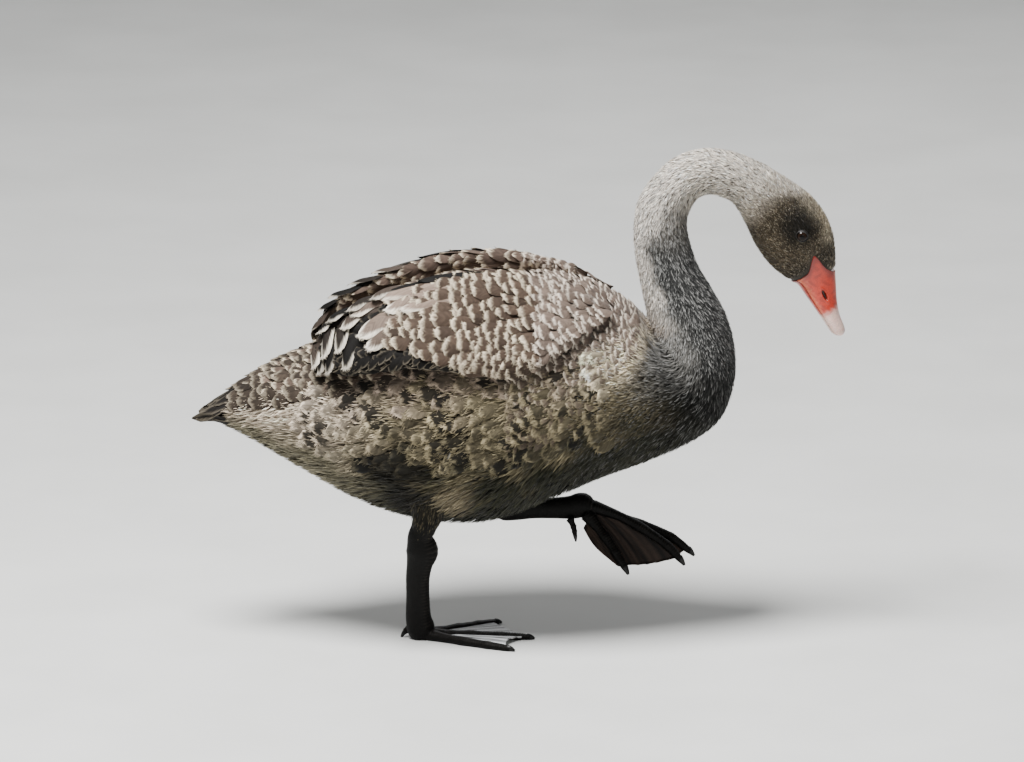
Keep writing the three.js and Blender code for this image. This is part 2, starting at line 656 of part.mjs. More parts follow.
show("wing_left", geometryOf(wing(1, SEEDS.leftWing)), plumage);
show("wing_right", geometryOf(wing(-1, SEEDS.rightWing)), plumage);

const { ankle, foot: rightEnd } = RIGHT_CUTS;
show("thigh_right", geometryOf(solid(limb(RIGHT_LEG, { to: ankle })).subtract(torsoGrown)), plumage);
show("shank_right", limb(RIGHT_LEG, { from: ankle, to: rightEnd }), legSkin);
show("foot_right", geometryOf(foot(RIGHT_LEG, rightEnd, RIGHT_FOOT).subtract(floor)), legSkin);

const leftShank = solid(limb(LEFT_LEG, { to: LEFT_CUTS.foot })).subtract(torsoGrown);
const roomForShank = torsoGrown.add(solid(limb(LEFT_LEG, { to: LEFT_CUTS.foot, grow: TOUCH_GAP })));
show("thigh_left", geometryOf(solid(limb(LEFT_THIGH)).subtract(roomForShank)), plumage);
show("shank_left", geometryOf(leftShank), legSkin);
show("foot_left", geometryOf(foot(LEFT_LEG, LEFT_CUTS.foot, LEFT_FOOT)), legSkin);

export default bird;
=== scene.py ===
import math

import bpy
import numpy as np
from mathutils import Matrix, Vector
from mathutils.kdtree import KDTree


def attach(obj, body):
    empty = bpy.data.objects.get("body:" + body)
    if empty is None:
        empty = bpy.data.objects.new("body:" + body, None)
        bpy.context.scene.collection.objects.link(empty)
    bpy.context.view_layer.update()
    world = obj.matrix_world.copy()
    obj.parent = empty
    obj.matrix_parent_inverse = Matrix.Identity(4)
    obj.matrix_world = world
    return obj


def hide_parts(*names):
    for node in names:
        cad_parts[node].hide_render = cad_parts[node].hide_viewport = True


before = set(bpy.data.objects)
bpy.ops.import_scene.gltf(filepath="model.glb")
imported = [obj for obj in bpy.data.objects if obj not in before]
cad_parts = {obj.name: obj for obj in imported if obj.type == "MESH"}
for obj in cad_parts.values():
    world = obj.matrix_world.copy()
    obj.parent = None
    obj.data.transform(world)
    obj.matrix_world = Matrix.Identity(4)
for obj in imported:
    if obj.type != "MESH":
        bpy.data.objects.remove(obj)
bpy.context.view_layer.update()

# Camera
# The photograph looks level across the bird from its right side and a little down, through a long
# lens, so that one pixel of the 1024 by 762 picture is one millimetre in the bird's middle plane.
PICTURE_WIDTH = 1024
PIXEL = 0.001
CAMERA_AWAY = 12.0
CAMERA_RISE = math.radians(14)
CAMERA_AIM = (-0.0095, 0.0, 0.2616)
lens = bpy.data.cameras.new("camera")
lens.sensor_fit = "HORIZONTAL"
lens.angle = 2 * math.atan(PICTURE_WIDTH * PIXEL / 2 / CAMERA_AWAY)
camera = bpy.data.objects.new("camera", lens)
camera.location = (
    CAMERA_AIM[0],
    CAMERA_AIM[1] - CAMERA_AWAY * math.cos(CAMERA_RISE),
    CAMERA_AIM[2] + CAMERA_AWAY * math.sin(CAMERA_RISE),
)
camera.rotation_euler = (math.pi / 2 - CAMERA_RISE, 0, 0)
bpy.context.scene.collection.objects.link(camera)
bpy.context.scene.camera = camera

# Skin
# One skin runs from the tail to the bill and takes in the wings and the feathered thighs. It is
# drawn through cross-sections in millimetres and lies under the coat by the coat's own depth.
MM = 0.001
# Each section: back x and z, belly x and z, half width, how much wider its lower half is, and the
# depth of the coat over it
SECTIONS = {
    "tail end": (-321, 231, -321, 225, 13, 0, 2),
    "tail": (-300, 247, -300, 219, 25, 0, 5),
    "tail root": (-262, 274, -262, 198, 40, 0, 8),
    "vent": (-221, 294, -221, 174, 60, 0.03, 10),
    "rump": (-171, 314, -171, 146, 82, 0.06, 11),
    "hind flank": (-121, 340, -121, 127, 97, 0.08, 11),
    "thigh": (-71, 360, -71, 119, 105, 0.1, 11),
    "keel": (-21, 370, -21, 123, 106, 0.1, 11),
    "fore flank": (27, 373, 27, 142, 102, 0.08, 10),
    "shoulder": (64, 366, 80, 165, 92, 0.06, 9),
    "breast": (91, 353, 127, 182, 79, 0.04, 8),
    "neck root": (112, 338, 168, 200, 68, 0, 7),
    "crop": (123, 325, 198, 223, 60, 0, 6),
    "crop front": (128, 318, 212, 258, 54, 0, 5.5),
    "neck foot": (126, 328, 213, 294, 48, 0, 5),
    "low neck": (122, 347, 205, 327, 43, 0, 4.5),
    "mid low neck": (118, 366, 191, 354, 38, 0, 4.2),
    "mid neck": (114, 388, 175, 382, 32, 0, 4),
    "neck waist": (112, 411, 166, 411, 28, 0, 3.6),
    "high neck": (115, 443, 165, 429, 26, 0, 3.3),
    "arch rise": (129, 468, 170, 442, 25, 0, 3),
    "arch shoulder": (151, 489, 177, 451, 24, 0, 2.8),
    "arch top": (179, 499, 187, 454, 24, 0, 2.6),
    "arch fall": (207, 497, 198, 452, 25, 0, 2.6),
    "nape": (236, 486, 211, 445, 26, 0, 2.5),
    "hind crown": (264, 470, 223, 424, 29, 0.04, 2.2),
    "crown": (286, 454, 234, 401, 31, 0.1, 1.9),
    "eye": (301, 436, 248, 382, 31, 0.1, 1.6),
    "forehead": (310, 415, 261, 371, 26, 0.1, 1.4),
    "lores": (313, 395, 269, 365, 20.5, 0.1, 1.2),
    "bill root": (313, 378, 276, 361, 16.5, 0.1, 1.2),
    "bill ridge": (314, 360, 285, 348, 14.6, 0.16, 1.2),
    "nostril": (315, 345, 294, 335, 13.6, 0.2, 1.2),
    "bill band": (317.5, 331, 302, 323, 13, 0.16, 1.2),
    "nail": (322, 319, 309, 312.5, 11.4, 0.1, 1.2),
    "bill end": (324, 312, 316, 307.5, 7.4, 0, 1.2),
}
STATION = {name: number for number, name in enumerate(SECTIONS)}
LAST = len(SECTIONS) - 1
SECTION_TABLE = np.array(list(SECTIONS.values()), float)


def through(table, u):
    """A smooth curve through the rows of a table, read at row numbers u."""
    table = np.asarray(table, float)
    ends = np.vstack([2 * table[0] - table[1], table, 2 * table[-1] - table[-2]])
    u = np.clip(np.asarray(u, float), 0, len(table) - 1)
    row = np.minimum(u.astype(int), len(table) - 2)
    f = (u - row)[..., None]
    a, b, c, d = ends[row], ends[row + 1], ends[row + 2], ends[row + 3]
    slope_b = (c - a) / 2
    slope_c = (d - b) / 2
    return (
        b
        + slope_b * f
        + (3 * (c - b) - 2 * slope_b - slope_c) * f**2
        + (2 * (b - c) + slope_b + slope_c) * f**3
    )


def body_surface(u, turn, out=0.0):
    """Points on the coat's outline; turn 0 is the back, half a turn the belly, in metres."""
    s = through(SECTION_TABLE, u)
    behind = np.minimum(u, 0) * 22
    back = s[..., 0:2]
    belly = s[..., 2:4]
    centre = (back + belly) / 2
    up = (back - belly) / 2
    height = np.linalg.norm(up, axis=-1)
    grow = (height + out) / height
    x = centre[..., 0] + up[..., 0] * np.cos(turn) * grow + behind
    z = centre[..., 1] + up[..., 1] * np.cos(turn) * grow + behind * 0.5
    y = np.sin(turn) * (s[..., 4] + out) * (1 - s[..., 5] * np.cos(turn))
    return np.stack([x, y, z], axis=-1) * MM


def body_skin(u, turn):
    return body_surface(u, turn, -through(SECTION_TABLE, u)[..., 6])


# Folded wing: upper edge, lower edge, half thickness, from the hind end to the shoulder
WING_SECTIONS = np.array([
    (-200, 40, 318, 60, 292, 5),
    (-183, 38, 336, 76, 288, 9),
    (-146, 38, 356, 91, 294, 12),
    (-106, 38, 372, 100, 300, 14),
    (-61, 38, 383, 105, 297, 15),
    (-16, 36, 384, 106, 294, 15),
    (23, 33, 377, 102, 308, 12),
    (55, 35, 367, 85, 326, 8),
    (78, 42, 357, 66, 341, 3),
], float)
WING_COAT = 4.0
WING_LAST = len(WING_SECTIONS) - 1


def wing_surface(side):
    """Points on one wing; turn 0 is its upper edge, half a turn its lower edge."""

    def place(v, turn, out=-WING_COAT):
        held = np.clip(v, 0, WING_LAST)
        s = through(WING_SECTIONS, held)
        middle = np.stack([s[..., 0], (s[..., 1] + s[..., 3]) / 2, (s[..., 2] + s[..., 4]) / 2], -1)
        up = np.stack([0 * s[..., 0], (s[..., 1] - s[..., 3]) / 2, (s[..., 2] - s[..., 4]) / 2], -1)
        across = np.stack([0 * s[..., 0], up[..., 2], -up[..., 1]], -1)
        across /= np.linalg.norm(across, axis=-1, keepdims=True)
        thick = np.maximum(s[..., 5] + out, 1.0)
        point = middle + up * np.cos(turn)[..., None]
        point = point + across * (np.sin(turn) * thick)[..., None]
        return point * np.array([1, side, 1]) * MM

    return place


# Feathered thighs, each point with half depth and half width
THIGHS = {
    "right": np.array([(-90, -50, 196, 30, 22), (-91, -54, 161, 23, 16), (-94, -53, 138, 14, 11),
                       (-98, -50, 123, 9.5, 8), (-101, -48.5, 116, 8.5, 7)], float),
    "left": np.array([(14, 54, 200, 28, 22), (4, 55, 170, 23, 18), (-7, 51, 146, 15, 13),
                      (-14, 46, 127, 9.5, 8.5), (-16, 44, 122, 8, 7)], float),
}


def tube_surface(table):
    """Points round a limb given as rows of x, y, z, half depth and half width."""

    def place(u, turn, out=0.0):
        held = np.clip(u, 0.05, len(table) - 1.05)
        ahead = through(table, held + 0.05)[..., :3] - through(table, held - 0.05)[..., :3]
        s = through(table, u)
        s[..., :3] += ahead * ((u - np.clip(u, 0, len(table) - 1)) / 0.1)[..., None]
        ahead /= np.linalg.norm(ahead, axis=-1, keepdims=True)
        sideways = np.zeros_like(ahead)
        sideways[..., 1] = 1
        sideways -= ahead * (ahead * sideways).sum(-1, keepdims=True)
        sideways /= np.linalg.norm(sideways, axis=-1, keepdims=True)
        front = np.cross(sideways, ahead)
        point = s[..., :3] + front * (np.cos(turn) * (s[..., 3] + out))[..., None]
        point = point + sideways * (np.sin(turn) * (s[..., 4] + out))[..., None]
        return point * MM

    return place


def build_mesh(name, points, faces):
    """An object from points and faces that all have the same number of corners."""
    faces = np.asarray(faces, np.int32)
    mesh = bpy.data.meshes.new(name)
    mesh.vertices.add(len(points))
    mesh.vertices.foreach_set("co", np.asarray(points, np.float32).ravel())
    mesh.loops.add(faces.size)
    mesh.loops.foreach_set("vertex_index", faces.ravel())
    mesh.polygons.add(len(faces))
    corners = faces.shape[1]
    mesh.polygons.foreach_set("loop_start", np.arange(0, faces.size, corners, dtype=np.int32))
    mesh.update(calc_edges=True)
    mesh.validate()
    mesh.shade_smooth()
    piece = bpy.data.objects.new(name, mesh)
    bpy.context.scene.collection.objects.link(piece)
    return piece


def tube_faces(rings, round_count):
    """Four-sided faces between neighbouring closed rings."""
    ring = np.arange(rings - 1)[:, None] * round_count
    j = np.arange(round_count)[None, :]
    k = (j + 1) % round_count
    quads = np.stack([ring + j, ring + k, ring + k + round_count, ring + j + round_count], -1)
    return quads.reshape(-1, 4)


def close_rings(points):
    """Adds a ring drawn nearly to a point at each end."""
    caps = [points[end].mean(0) + (points[end] - points[end].mean(0)) * 0.02 for end in (0, -1)]
    return np.concatenate([caps[0][None], points, caps[1][None]])


def closed_tube(place, u, round_count):
    """Points and faces of a surface over rings at u, closed at both ends."""
    turn = np.linspace(0, 2 * math.pi, round_count, endpoint=False)
    rings = close_rings(place(u[:, None] + 0 * turn, turn[None, :] + 0 * u[:, None]))
    return rings.reshape(-1, 3), tube_faces(len(rings), round_count)


def joined_tubes(name, tubes):
    """One object from several tubes, each given as its points and its faces."""
    points = []
    faces = []
    count = 0
    for tube_points, tube_quads in tubes:
        points.append(tube_points)
        faces.append(tube_quads + count)
        count += len(tube_points)
    return build_mesh(name, np.vstack(points), np.vstack(faces))


def remeshed(piece, voxel, smoothing):
    """Fuses overlapping closed tubes into one skin and smooths it."""
    remesh = piece.modifiers.new("fuse", "REMESH")
    remesh.mode = "VOXEL"
    remesh.voxel_size = voxel
    remesh.use_smooth_shade = True
    smooth = piece.modifiers.new("soften", "SMOOTH")
    smooth.factor = 0.5
    smooth.iterations = smoothing
    depsgraph = bpy.context.evaluated_depsgraph_get()
    mesh = bpy.data.meshes.new_from_object(piece.evaluated_get(depsgraph))
    piece.modifiers.clear()
    piece.data = mesh
    return piece


def srgb(*rgb):
    """A colour given from 0 to 255, as linear light."""
    value = np.array(rgb, float) / 255
    return np.where(value <= 0.04045, value / 12.92, ((value + 0.055) / 1.055) ** 2.4)


def step_up(value, low, high):
    """A soft step from 0 at low to 1 at high."""
    t = np.clip((value - low) / (high - low), 0, 1)
    return t * t * (3 - 2 * t)


def blend(first, second, weight):
    """The first colour where the weight is 0, the second where it is 1."""
    weight = np.asarray(weight)[..., None]
    return first * (1 - weight) + second * weight


# The young coat's colours: pale buff down on the back of the neck and the rump, slate on the front
# of the neck and the crop, the crop's front painted darker still for its shade, olive-brown below,
# dark brown with pale fringes above
PALE_BUFF = srgb(218, 208, 194)
NECK_HIND = srgb(206, 198, 187)
NECK_FRONT = srgb(48, 48, 47)
HEAD_BROWN = srgb(88, 78, 63)
HEAD_DARK = srgb(30, 27, 22)
CROWN_GREY = srgb(182, 170, 148)
CROP_SLATE_AND_SHADE = srgb(18, 18, 15)
CROP_SIDE = srgb(96, 94, 90)
CREAM = srgb(240, 224, 192)
BACK_BROWN = srgb(128, 114, 101)
FLANK_BUFF = srgb(122, 112, 88)
BELLY_OLIVE = srgb(38, 38, 27)
RUMP_BUFF = srgb(178, 164, 146)
VENT_GREY = srgb(112, 106, 88)
TAIL_BROWN = srgb(66, 56, 47)
THIGH_DARK = srgb(24, 22, 17)
THIGH_PALE = srgb(138, 126, 102)
# Small markings and patches of painted shade, each with its x and z in side view, its reach, its colour and
# its strength
MARKINGS_AND_SHADE = {
    # Painted shade on the body behind the thigh, in the thighs' dark colour
    "painted shade behind the thigh": (-112, 194, 34, THIGH_DARK, 0.95),
    "dark thigh": (-98, 158, 26, THIGH_DARK, 1.0),
    "pale thigh tuft": (-56, 158, 24, THIGH_PALE, 0.6),
    "dark below the wing": (-30, 232, 24, THIGH_DARK, 0.45),
    "dark flank": (-92, 246, 20, THIGH_DARK, 0.45),
    "cream at the neck's foot": (107, 302, 25, CREAM, 1.0),
    "pale rump side": (-205, 245, 36, RUMP_BUFF, 0.6),
    # Painted shade on the flank under the wing's lower edge
    "painted shade under the wing": (-150, 292, 26, THIGH_DARK, 0.5),
}
# The middle of the dark patch round the eye
EYE_PATCH = (277, 424)


def coat_colour(u, turn, point):
    """The coat's base colour at a place on the body, the same for the skin and the coat. It takes in
    painted shade behind the thigh, under the wing and on the crop's front.
    """
    x = point[..., 0] / MM
    z = point[..., 2] / MM
    waver = 0.06 * np.sin(x * 0.11 + z * 0.07) + 0.05 * np.sin(z * 0.19 - x * 0.05 + 2)
    hind = 0.5 + 0.5 * np.cos(turn) + waver
    body = blend(FLANK_BUFF, BACK_BROWN, step_up(hind, 0.55, 0.8))
    body = blend(BELLY_OLIVE, body, step_up(hind, 0.16, 0.5))
    stern = blend(VENT_GREY, RUMP_BUFF, step_up(hind, 0.2, 0.55))
    stern = blend(stern, TAIL_BROWN, step_up(hind, 0.72, 0.9))
    stern = blend(TAIL_BROWN * 0.6, stern, step_up(u, 0.9, 1.9))
    colour = blend(stern, body, step_up(u, STATION["vent"], STATION["hind flank"] + 0.6))
    # The crop's front: its dark slate, painted darker still for the shade on it
    crop = blend(CROP_SLATE_AND_SHADE, NECK_FRONT, step_up(u, STATION["neck root"], STATION["low neck"]))
    crop = blend(crop, CROP_SIDE, step_up(hind, 0.35, 0.65))
    crop = blend(crop, BACK_BROWN, step_up(hind, 0.8, 0.95))
    to_crop = u + 2.4 * (hind - 0.4)
    colour = blend(colour, crop, step_up(to_crop, STATION["breast"] - 0.7, STATION["crop"]))
    grey_up = step_up(u, STATION["mid neck"] + 0.4, STATION["arch shoulder"])
    front = blend(NECK_FRONT, NECK_HIND, 0.75 * grey_up)
    edge = 0.62 - 0.42 * grey_up
    neck = blend(front, NECK_HIND, step_up(hind, edge, edge + 0.3))
    neck = blend(neck, PALE_BUFF, step_up(u, STATION["high neck"], STATION["arch top"]))
    colour = blend(colour, neck, step_up(u, STATION["neck foot"] - 0.5, STATION["mid low neck"]))
    brown = blend(HEAD_BROWN, CROWN_GREY, step_up(hind, 0.72, 0.98))
    to_crown = u - 0.9 * step_up(hind, 0.6, 1.0)
    colour = blend(colour, brown, step_up(to_crown, STATION["nape"] + 0.3, STATION["hind crown"] + 0.6))
    mottle = np.sin(x * 0.9 + 2 * np.sin(z * 0.5)) * np.sin(z * 0.8 + 2 * np.sin(x * 0.4))
    from_eye = np.hypot(x - EYE_PATCH[0], z - EYE_PATCH[1])
    colour = blend(colour, HEAD_DARK, 0.92 * (1 - step_up(from_eye + 3 * mottle, 9, 29)))
    by_bill = step_up(u, STATION["eye"] + 0.8, STATION["forehead"] + 0.8)
    colour = blend(colour, HEAD_DARK, 0.6 * by_bill)
    # Markings, and the patches of painted shade behind the thigh and under the wing
    for place_x, place_z, reach, patch_colour, strength in MARKINGS_AND_SHADE.values():
        far = np.hypot(x - place_x, z - place_z) / reach + 2 * waver
        colour = blend(colour, patch_colour, strength * (1 - step_up(far, 0.4, 1.2)))
    return colour


def paint(piece, name, colour):
    """Gives a mesh a colour at each of its points."""
    values = np.ones((len(piece.data.vertices), 4), np.float32)
    values[:, : colour.shape[1]] = colour
    layer = piece.data.attributes.new(name, "FLOAT_COLOR", "POINT")
    layer.data.foreach_set("color", values.ravel())


def points_of(piece):
    points = np.empty(len(piece.data.vertices) * 3, np.float32)
    piece.data.vertices.foreach_get("co", points)
    return points.reshape(-1, 3)


def put(tree, kind, settings=None, **inputs):
    """Adds a shader node. An input is named by its socket, and is a value or another socket."""
    made = tree.nodes.new("ShaderNode" + kind)
    for key, value in (settings or {}).items():
        setattr(made, key, value)
    for key, value in inputs.items():
        socket = made.inputs[int(key[1:])] if key[0] == "_" else made.inputs[key.replace("_", " ")]
        if isinstance(value, bpy.types.NodeSocket):
            tree.links.new(value, socket)
        else:
            socket.default_value = value
    return made.outputs


def maths(tree, operation, first, second=0.0):
    return put(tree, "Math", {"operation": operation}, _0=first, _1=second)[0]


def smooth_step(tree, value, low, high, start=0.0, end=1.0):
    settings = {"interpolation_type": "SMOOTHSTEP"}
    made = put(
        tree, "MapRange", settings, Value=value, From_Min=low, From_Max=high, To_Min=start, To_Max=end)
    return made[0]


def mix(tree, weight, first, second, kind="MIX"):
    settings = {"data_type": "RGBA", "blend_type": kind}
    return put(tree, "Mix", settings, _0=weight, _6=first, _7=second)[2]


def noise(tree, vector, scale, detail):
    return put(tree, "TexNoise", None, Vector=vector, Scale=scale, Detail=detail)[0]


def new_material(name, **sockets):
    """A material with one principled shader, whose even values are set on its own sockets."""
    material = bpy.data.materials.new(name)
    material.use_nodes = True
    tree = material.node_tree
    shader = tree.nodes["Principled BSDF"]
    for key, value in sockets.items():
        shader.inputs[key.replace("_", " ")].default_value = value
    return material, tree, shader.inputs


def set_bump(tree, shader, height, strength, distance):
    normal = put(tree, "Bump", None, Strength=strength, Distance=distance, Height=height)[0]
    tree.links.new(normal, shader["Normal"])


def down_material():
    """Short down close to the skin: the coat's colour broken into fine soft strands."""
    material, tree, shader = new_material("under_down", Roughness=0.9, Sheen_Weight=0.15)
    place = put(tree, "TexCoord")["Object"]
    strands = noise(tree, place, 900.0, 3.0)
    tone = smooth_step(tree, strands, 0.3, 0.75, 0.35, 0.9)
    colour = put(tree, "Attribute", {"attribute_name": "tint"})["Color"]
    tree.links.new(mix(tree, 1.0, colour, tone, "MULTIPLY"), shader["Base Color"])
    set_bump(tree, shader, strands, 0.6, 0.0008)
    return material


skin = joined_tubes("skin", [
    closed_tube(body_skin, np.linspace(0.6, STATION["bill root"], 240), 96),
    closed_tube(wing_surface(1), np.linspace(0.15, WING_LAST - 0.1, 60), 48),
    closed_tube(wing_surface(-1), np.linspace(0.15, WING_LAST - 0.1, 60), 48),
    closed_tube(tube_surface(THIGHS["right"]), np.linspace(0, 4, 24), 32),
    closed_tube(tube_surface(THIGHS["left"]), np.linspace(0, 4, 24), 32),
])
remeshed(skin, 0.0025, 6)


def nearest_on_body(points):
    """For each point the section and the turn of the nearest place on the body."""
    u = np.linspace(0, STATION["bill root"], 160)
    turn = np.linspace(0, math.pi, 40)
    grid_u, grid_turn = np.meshgrid(u, turn, indexing="ij")
    places = body_skin(grid_u, grid_turn).reshape(-1, 3)
    tree = KDTree(len(places))
    for number, place in enumerate(places):
        tree.insert(place, number)
    tree.balance()
    folded = points * np.array([1, 0, 1]) + np.abs(points) * np.array([0, 1, 0])
    found = np.array([tree.find(point)[1] for point in folded])
    return grid_u.ravel()[found], grid_turn.ravel()[found]


skin_points = points_of(skin)
skin_u, skin_turn = nearest_on_body(skin_points)
paint(skin, "tint", coat_colour(skin_u, skin_turn, skin_points))
skin.data.materials.append(down_material())
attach(skin, "root")
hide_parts("tail", "torso", "neck_root", "neck_low", "neck_rise", "neck_fall", "head")
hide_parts("wing_left", "wing_right", "thigh_left", "thigh_right")

# Eyes
# Each eye is a very dark brown ball set in the side of the head, with bare dark lids closed round it
# in an almond, a little longer towards the bill.
EYE_PLACE = (279, 417)
EYE_RADIUS = 6.4
EYE_INSET = 3.3
EYE_OPEN = (5.8, 4.7)
LID_THICK = 0.45
LID_REACH = 6.6
LID_TILT = math.radians(-28)
LID_RINGS = 14
PUPIL_BLACK = srgb(10, 8, 7)
LID_SKIN = srgb(22, 20, 18)
LID_EDGE = srgb(44, 39, 34)
IRIS = srgb(32, 20, 13)


def eye_depth():
    """How far out the side of the head is at the eye, in millimetres."""
    s = through(SECTION_TABLE, np.array(STATION["eye"] - 0.15))
    centre = (s[0:2] + s[2:4]) / 2
    up = (s[0:2] - s[2:4]) / 2
    rise = (np.array(EYE_PLACE) - centre) @ up / (up @ up)
    return math.sqrt(1 - rise**2) * s[4] * (1 - s[5] * rise)


def painted_material(name, roughness, coat, bumps, depth, **sockets):
    """Bare skin or horn in its painted colours, with fine grain."""
    material, tree, shader = new_material(
        name, Roughness=roughness, Coat_Weight=coat, Coat_Roughness=0.15, **sockets)
    place = put(tree, "TexCoord")["Object"]
    grain = noise(tree, place, bumps, 4.0)
    colour = put(tree, "Attribute", {"attribute_name": "tint"})["Color"]
    tone = smooth_step(tree, grain, 0.3, 0.7, 0.86, 1.1)
    tree.links.new(mix(tree, 1.0, colour, tone, "MULTIPLY"), shader["Base Color"])
    if depth:
        set_bump(tree, shader, grain, 0.5, depth)
    return material


eye_finish = painted_material("wet_eye", 0.05, 0.0, 300.0, 0.0, Specular_IOR_Level=0.16)
lid_finish = painted_material("lid_skin", 0.5, 0.1, 1500.0, 0.0004)
eye_out = eye_depth() - EYE_INSET
for word, side in (("left", 1), ("right", -1)):
    centre = np.array([EYE_PLACE[0], side * eye_out, EYE_PLACE[1]]) * MM
    polar = np.linspace(0.01, math.pi - 0.01, 40)[:, None]
    turn = np.linspace(0, 2 * math.pi, 64, endpoint=False)[None, :]
    ball = np.stack([
        np.sin(polar) * np.cos(turn), np.cos(polar) + 0 * turn, np.sin(polar) * np.sin(turn),
    ], -1).reshape(-1, 3)
    eye = build_mesh("eye_ball_" + word, centre + ball * EYE_RADIUS * MM, tube_faces(40, 64))
    facing = ball[:, 1] * side
    iris = step_up(facing, 0.70, 0.76) * (1 - step_up(facing, 0.90, 0.94))
    paint(eye, "tint", blend(PUPIL_BLACK, IRIS, 0.8 * iris))
    eye.data.materials.append(eye_finish)
    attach(eye, "root")
    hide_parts("eye_" + word)

    share = np.linspace(0, 1, LID_RINGS)[:, None]
    rim_x = np.cos(turn) * EYE_OPEN[0]
    rim_z = np.sin(turn) * EYE_OPEN[1]
    open_radius = np.hypot(rim_x, rim_z)
    angle = np.arctan2(rim_z, rim_x) + LID_TILT
    radius = open_radius + share * (LID_REACH - open_radius) * 1.05
    crease = 0.12 * np.sin(share * 22) * np.sin(math.pi * share)
    swell = np.sqrt(np.sin(math.pi * np.minimum(share * 1.6 + 0.04, 0.96)))
    level = EYE_RADIUS + LID_THICK * swell + crease
    out = np.sqrt(np.maximum(level**2 - radius**2, 0.3))
    lid_points = np.stack([np.cos(angle) * radius, side * out, np.sin(angle) * radius], -1)
    lid = build_mesh("lids_" + word, centre + lid_points.reshape(-1, 3) * MM, tube_faces(LID_RINGS, 64))
    pale = 1 - step_up(np.broadcast_to(share, radius.shape).ravel(), 0.05, 0.22)
    paint(lid, "tint", blend(LID_SKIN, LID_EDGE, 0.7 * pale))
    lid.data.materials.append(lid_finish)
    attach(lid, "root")
    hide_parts("head")

# Bill
# The bill is horn under smooth waxy skin: orange-red with paler edges, a pinkish white band towards
# its end and a hard pale nail at its tip. Its skin runs up to a peak before the eye, and the slit
# nostrils lie half way down. The lower half shows as a thin sliver under the line of the mouth.
MOUTH_LOW = 0.13
MOUTH_RISE = 0.08
MOUTH_GAP = 0.05
# The outline of the bare skin in side view, x and z, carried on past the bill's end
BILL_EDGE = np.array([
    (330, 375), (312, 376), (304, 380.5), (298, 388), (291.5, 399), (288.5, 388),
    (286, 377.5), (277, 369.5), (258, 360), (262, 290), (350, 290),
])
# The bill's end is rounded from this section on, by this much at the end
ROUNDED_FROM = 33.9
BILL_ROUNDING = 2.6
UPPER_RINGS = 170
UPPER_ARC = 150
LOWER_RINGS = 120
LOWER_ARC = 70
NAIL_FROM = 34.05
NAIL_ROWS = 36
NAIL_COLUMNS = 31
NOSTRIL = {"x": 302.5, "z": 353, "long": 6.4, "high": 1.9, "deep": 3.0, "pitch": 1.13}
BILL_RED = srgb(188, 50, 26)
BILL_EDGE_AND_HIGHLIGHT_RED = srgb(224, 116, 84)
BILL_ROOT = srgb(120, 30, 20)
BILL_BAND = srgb(230, 196, 184)
NAIL_PINK = srgb(190, 162, 162)
NOSTRIL_SHADE = srgb(46, 16, 10)


def inside_outline(outline, x, z):
    """Whether places in side view lie inside a closed outline."""
    inside = np.zeros(np.shape(x), bool)
    for (x0, z0), (x1, z1) in zip(outline, np.roll(outline, -1, 0)):
        crosses = (z0 > z) != (z1 > z)
        inside ^= crosses & (x < (x1 - x0) * (z - z0) / (z1 - z0 + 1e-12) + x0)
    return inside


def unit(vectors):
    return vectors / np.maximum(np.linalg.norm(vectors, axis=-1, keepdims=True), 1e-12)


def surface_axes(place, a, b):
    """Steps along and round a surface for one unit of each, and the way out of it."""
    near = 1e-3
    along = (place(a + near, b) - place(a - near, b)) / (2 * near)
    around = (place(a, b + near) - place(a, b - near)) / (2 * near)
    out = unit(np.cross(along, around))
    facing = ((place(a, b, 1.0) - place(a, b, 0.0)) * out).sum(-1, keepdims=True)
    return along, around, out * np.sign(facing)


def bill_edge_by_turn():
    """The section at which the bare skin begins, for each turn round the head."""
    turns = np.linspace(-math.pi, math.pi, 181)
    u = np.linspace(STATION["hind crown"], STATION["bill band"], 700)
    place = body_surface(u[:, None] + 0 * turns, turns[None, :] + 0 * u[:, None]) / MM
    feathered = ~inside_outline(BILL_EDGE, place[..., 0], place[..., 2])
    last = len(u) - 1 - np.argmax(feathered[::-1], axis=0)
    edge = u[last]
    padded = np.concatenate([edge[-3:-1], edge, edge[1:3]])
    return turns, np.convolve(padded, np.ones(5) / 5, "valid")


EDGE_TURNS, EDGE_SECTIONS = bill_edge_by_turn()


def bill_start(turn):
    wrapped = (turn + math.pi) % (2 * math.pi) - math.pi
    return np.interp(wrapped, EDGE_TURNS, EDGE_SECTIONS)


def mouth_turn(u):
    """The turn of the mouth's line, which rises along the bill."""
    root = STATION["bill root"]
    return np.arccos(2 * (MOUTH_LOW + MOUTH_RISE * (u - root) / (LAST - root)) - 1)


def bill_rounding(u):
    """How far the skin lies inside the sections' outline near the bill's end."""
    end = np.clip((u - ROUNDED_FROM) / (LAST - ROUNDED_FROM), 0, 1)
    return BILL_ROUNDING * (1 - np.sqrt(np.maximum(1 - end**2.2, 0)))


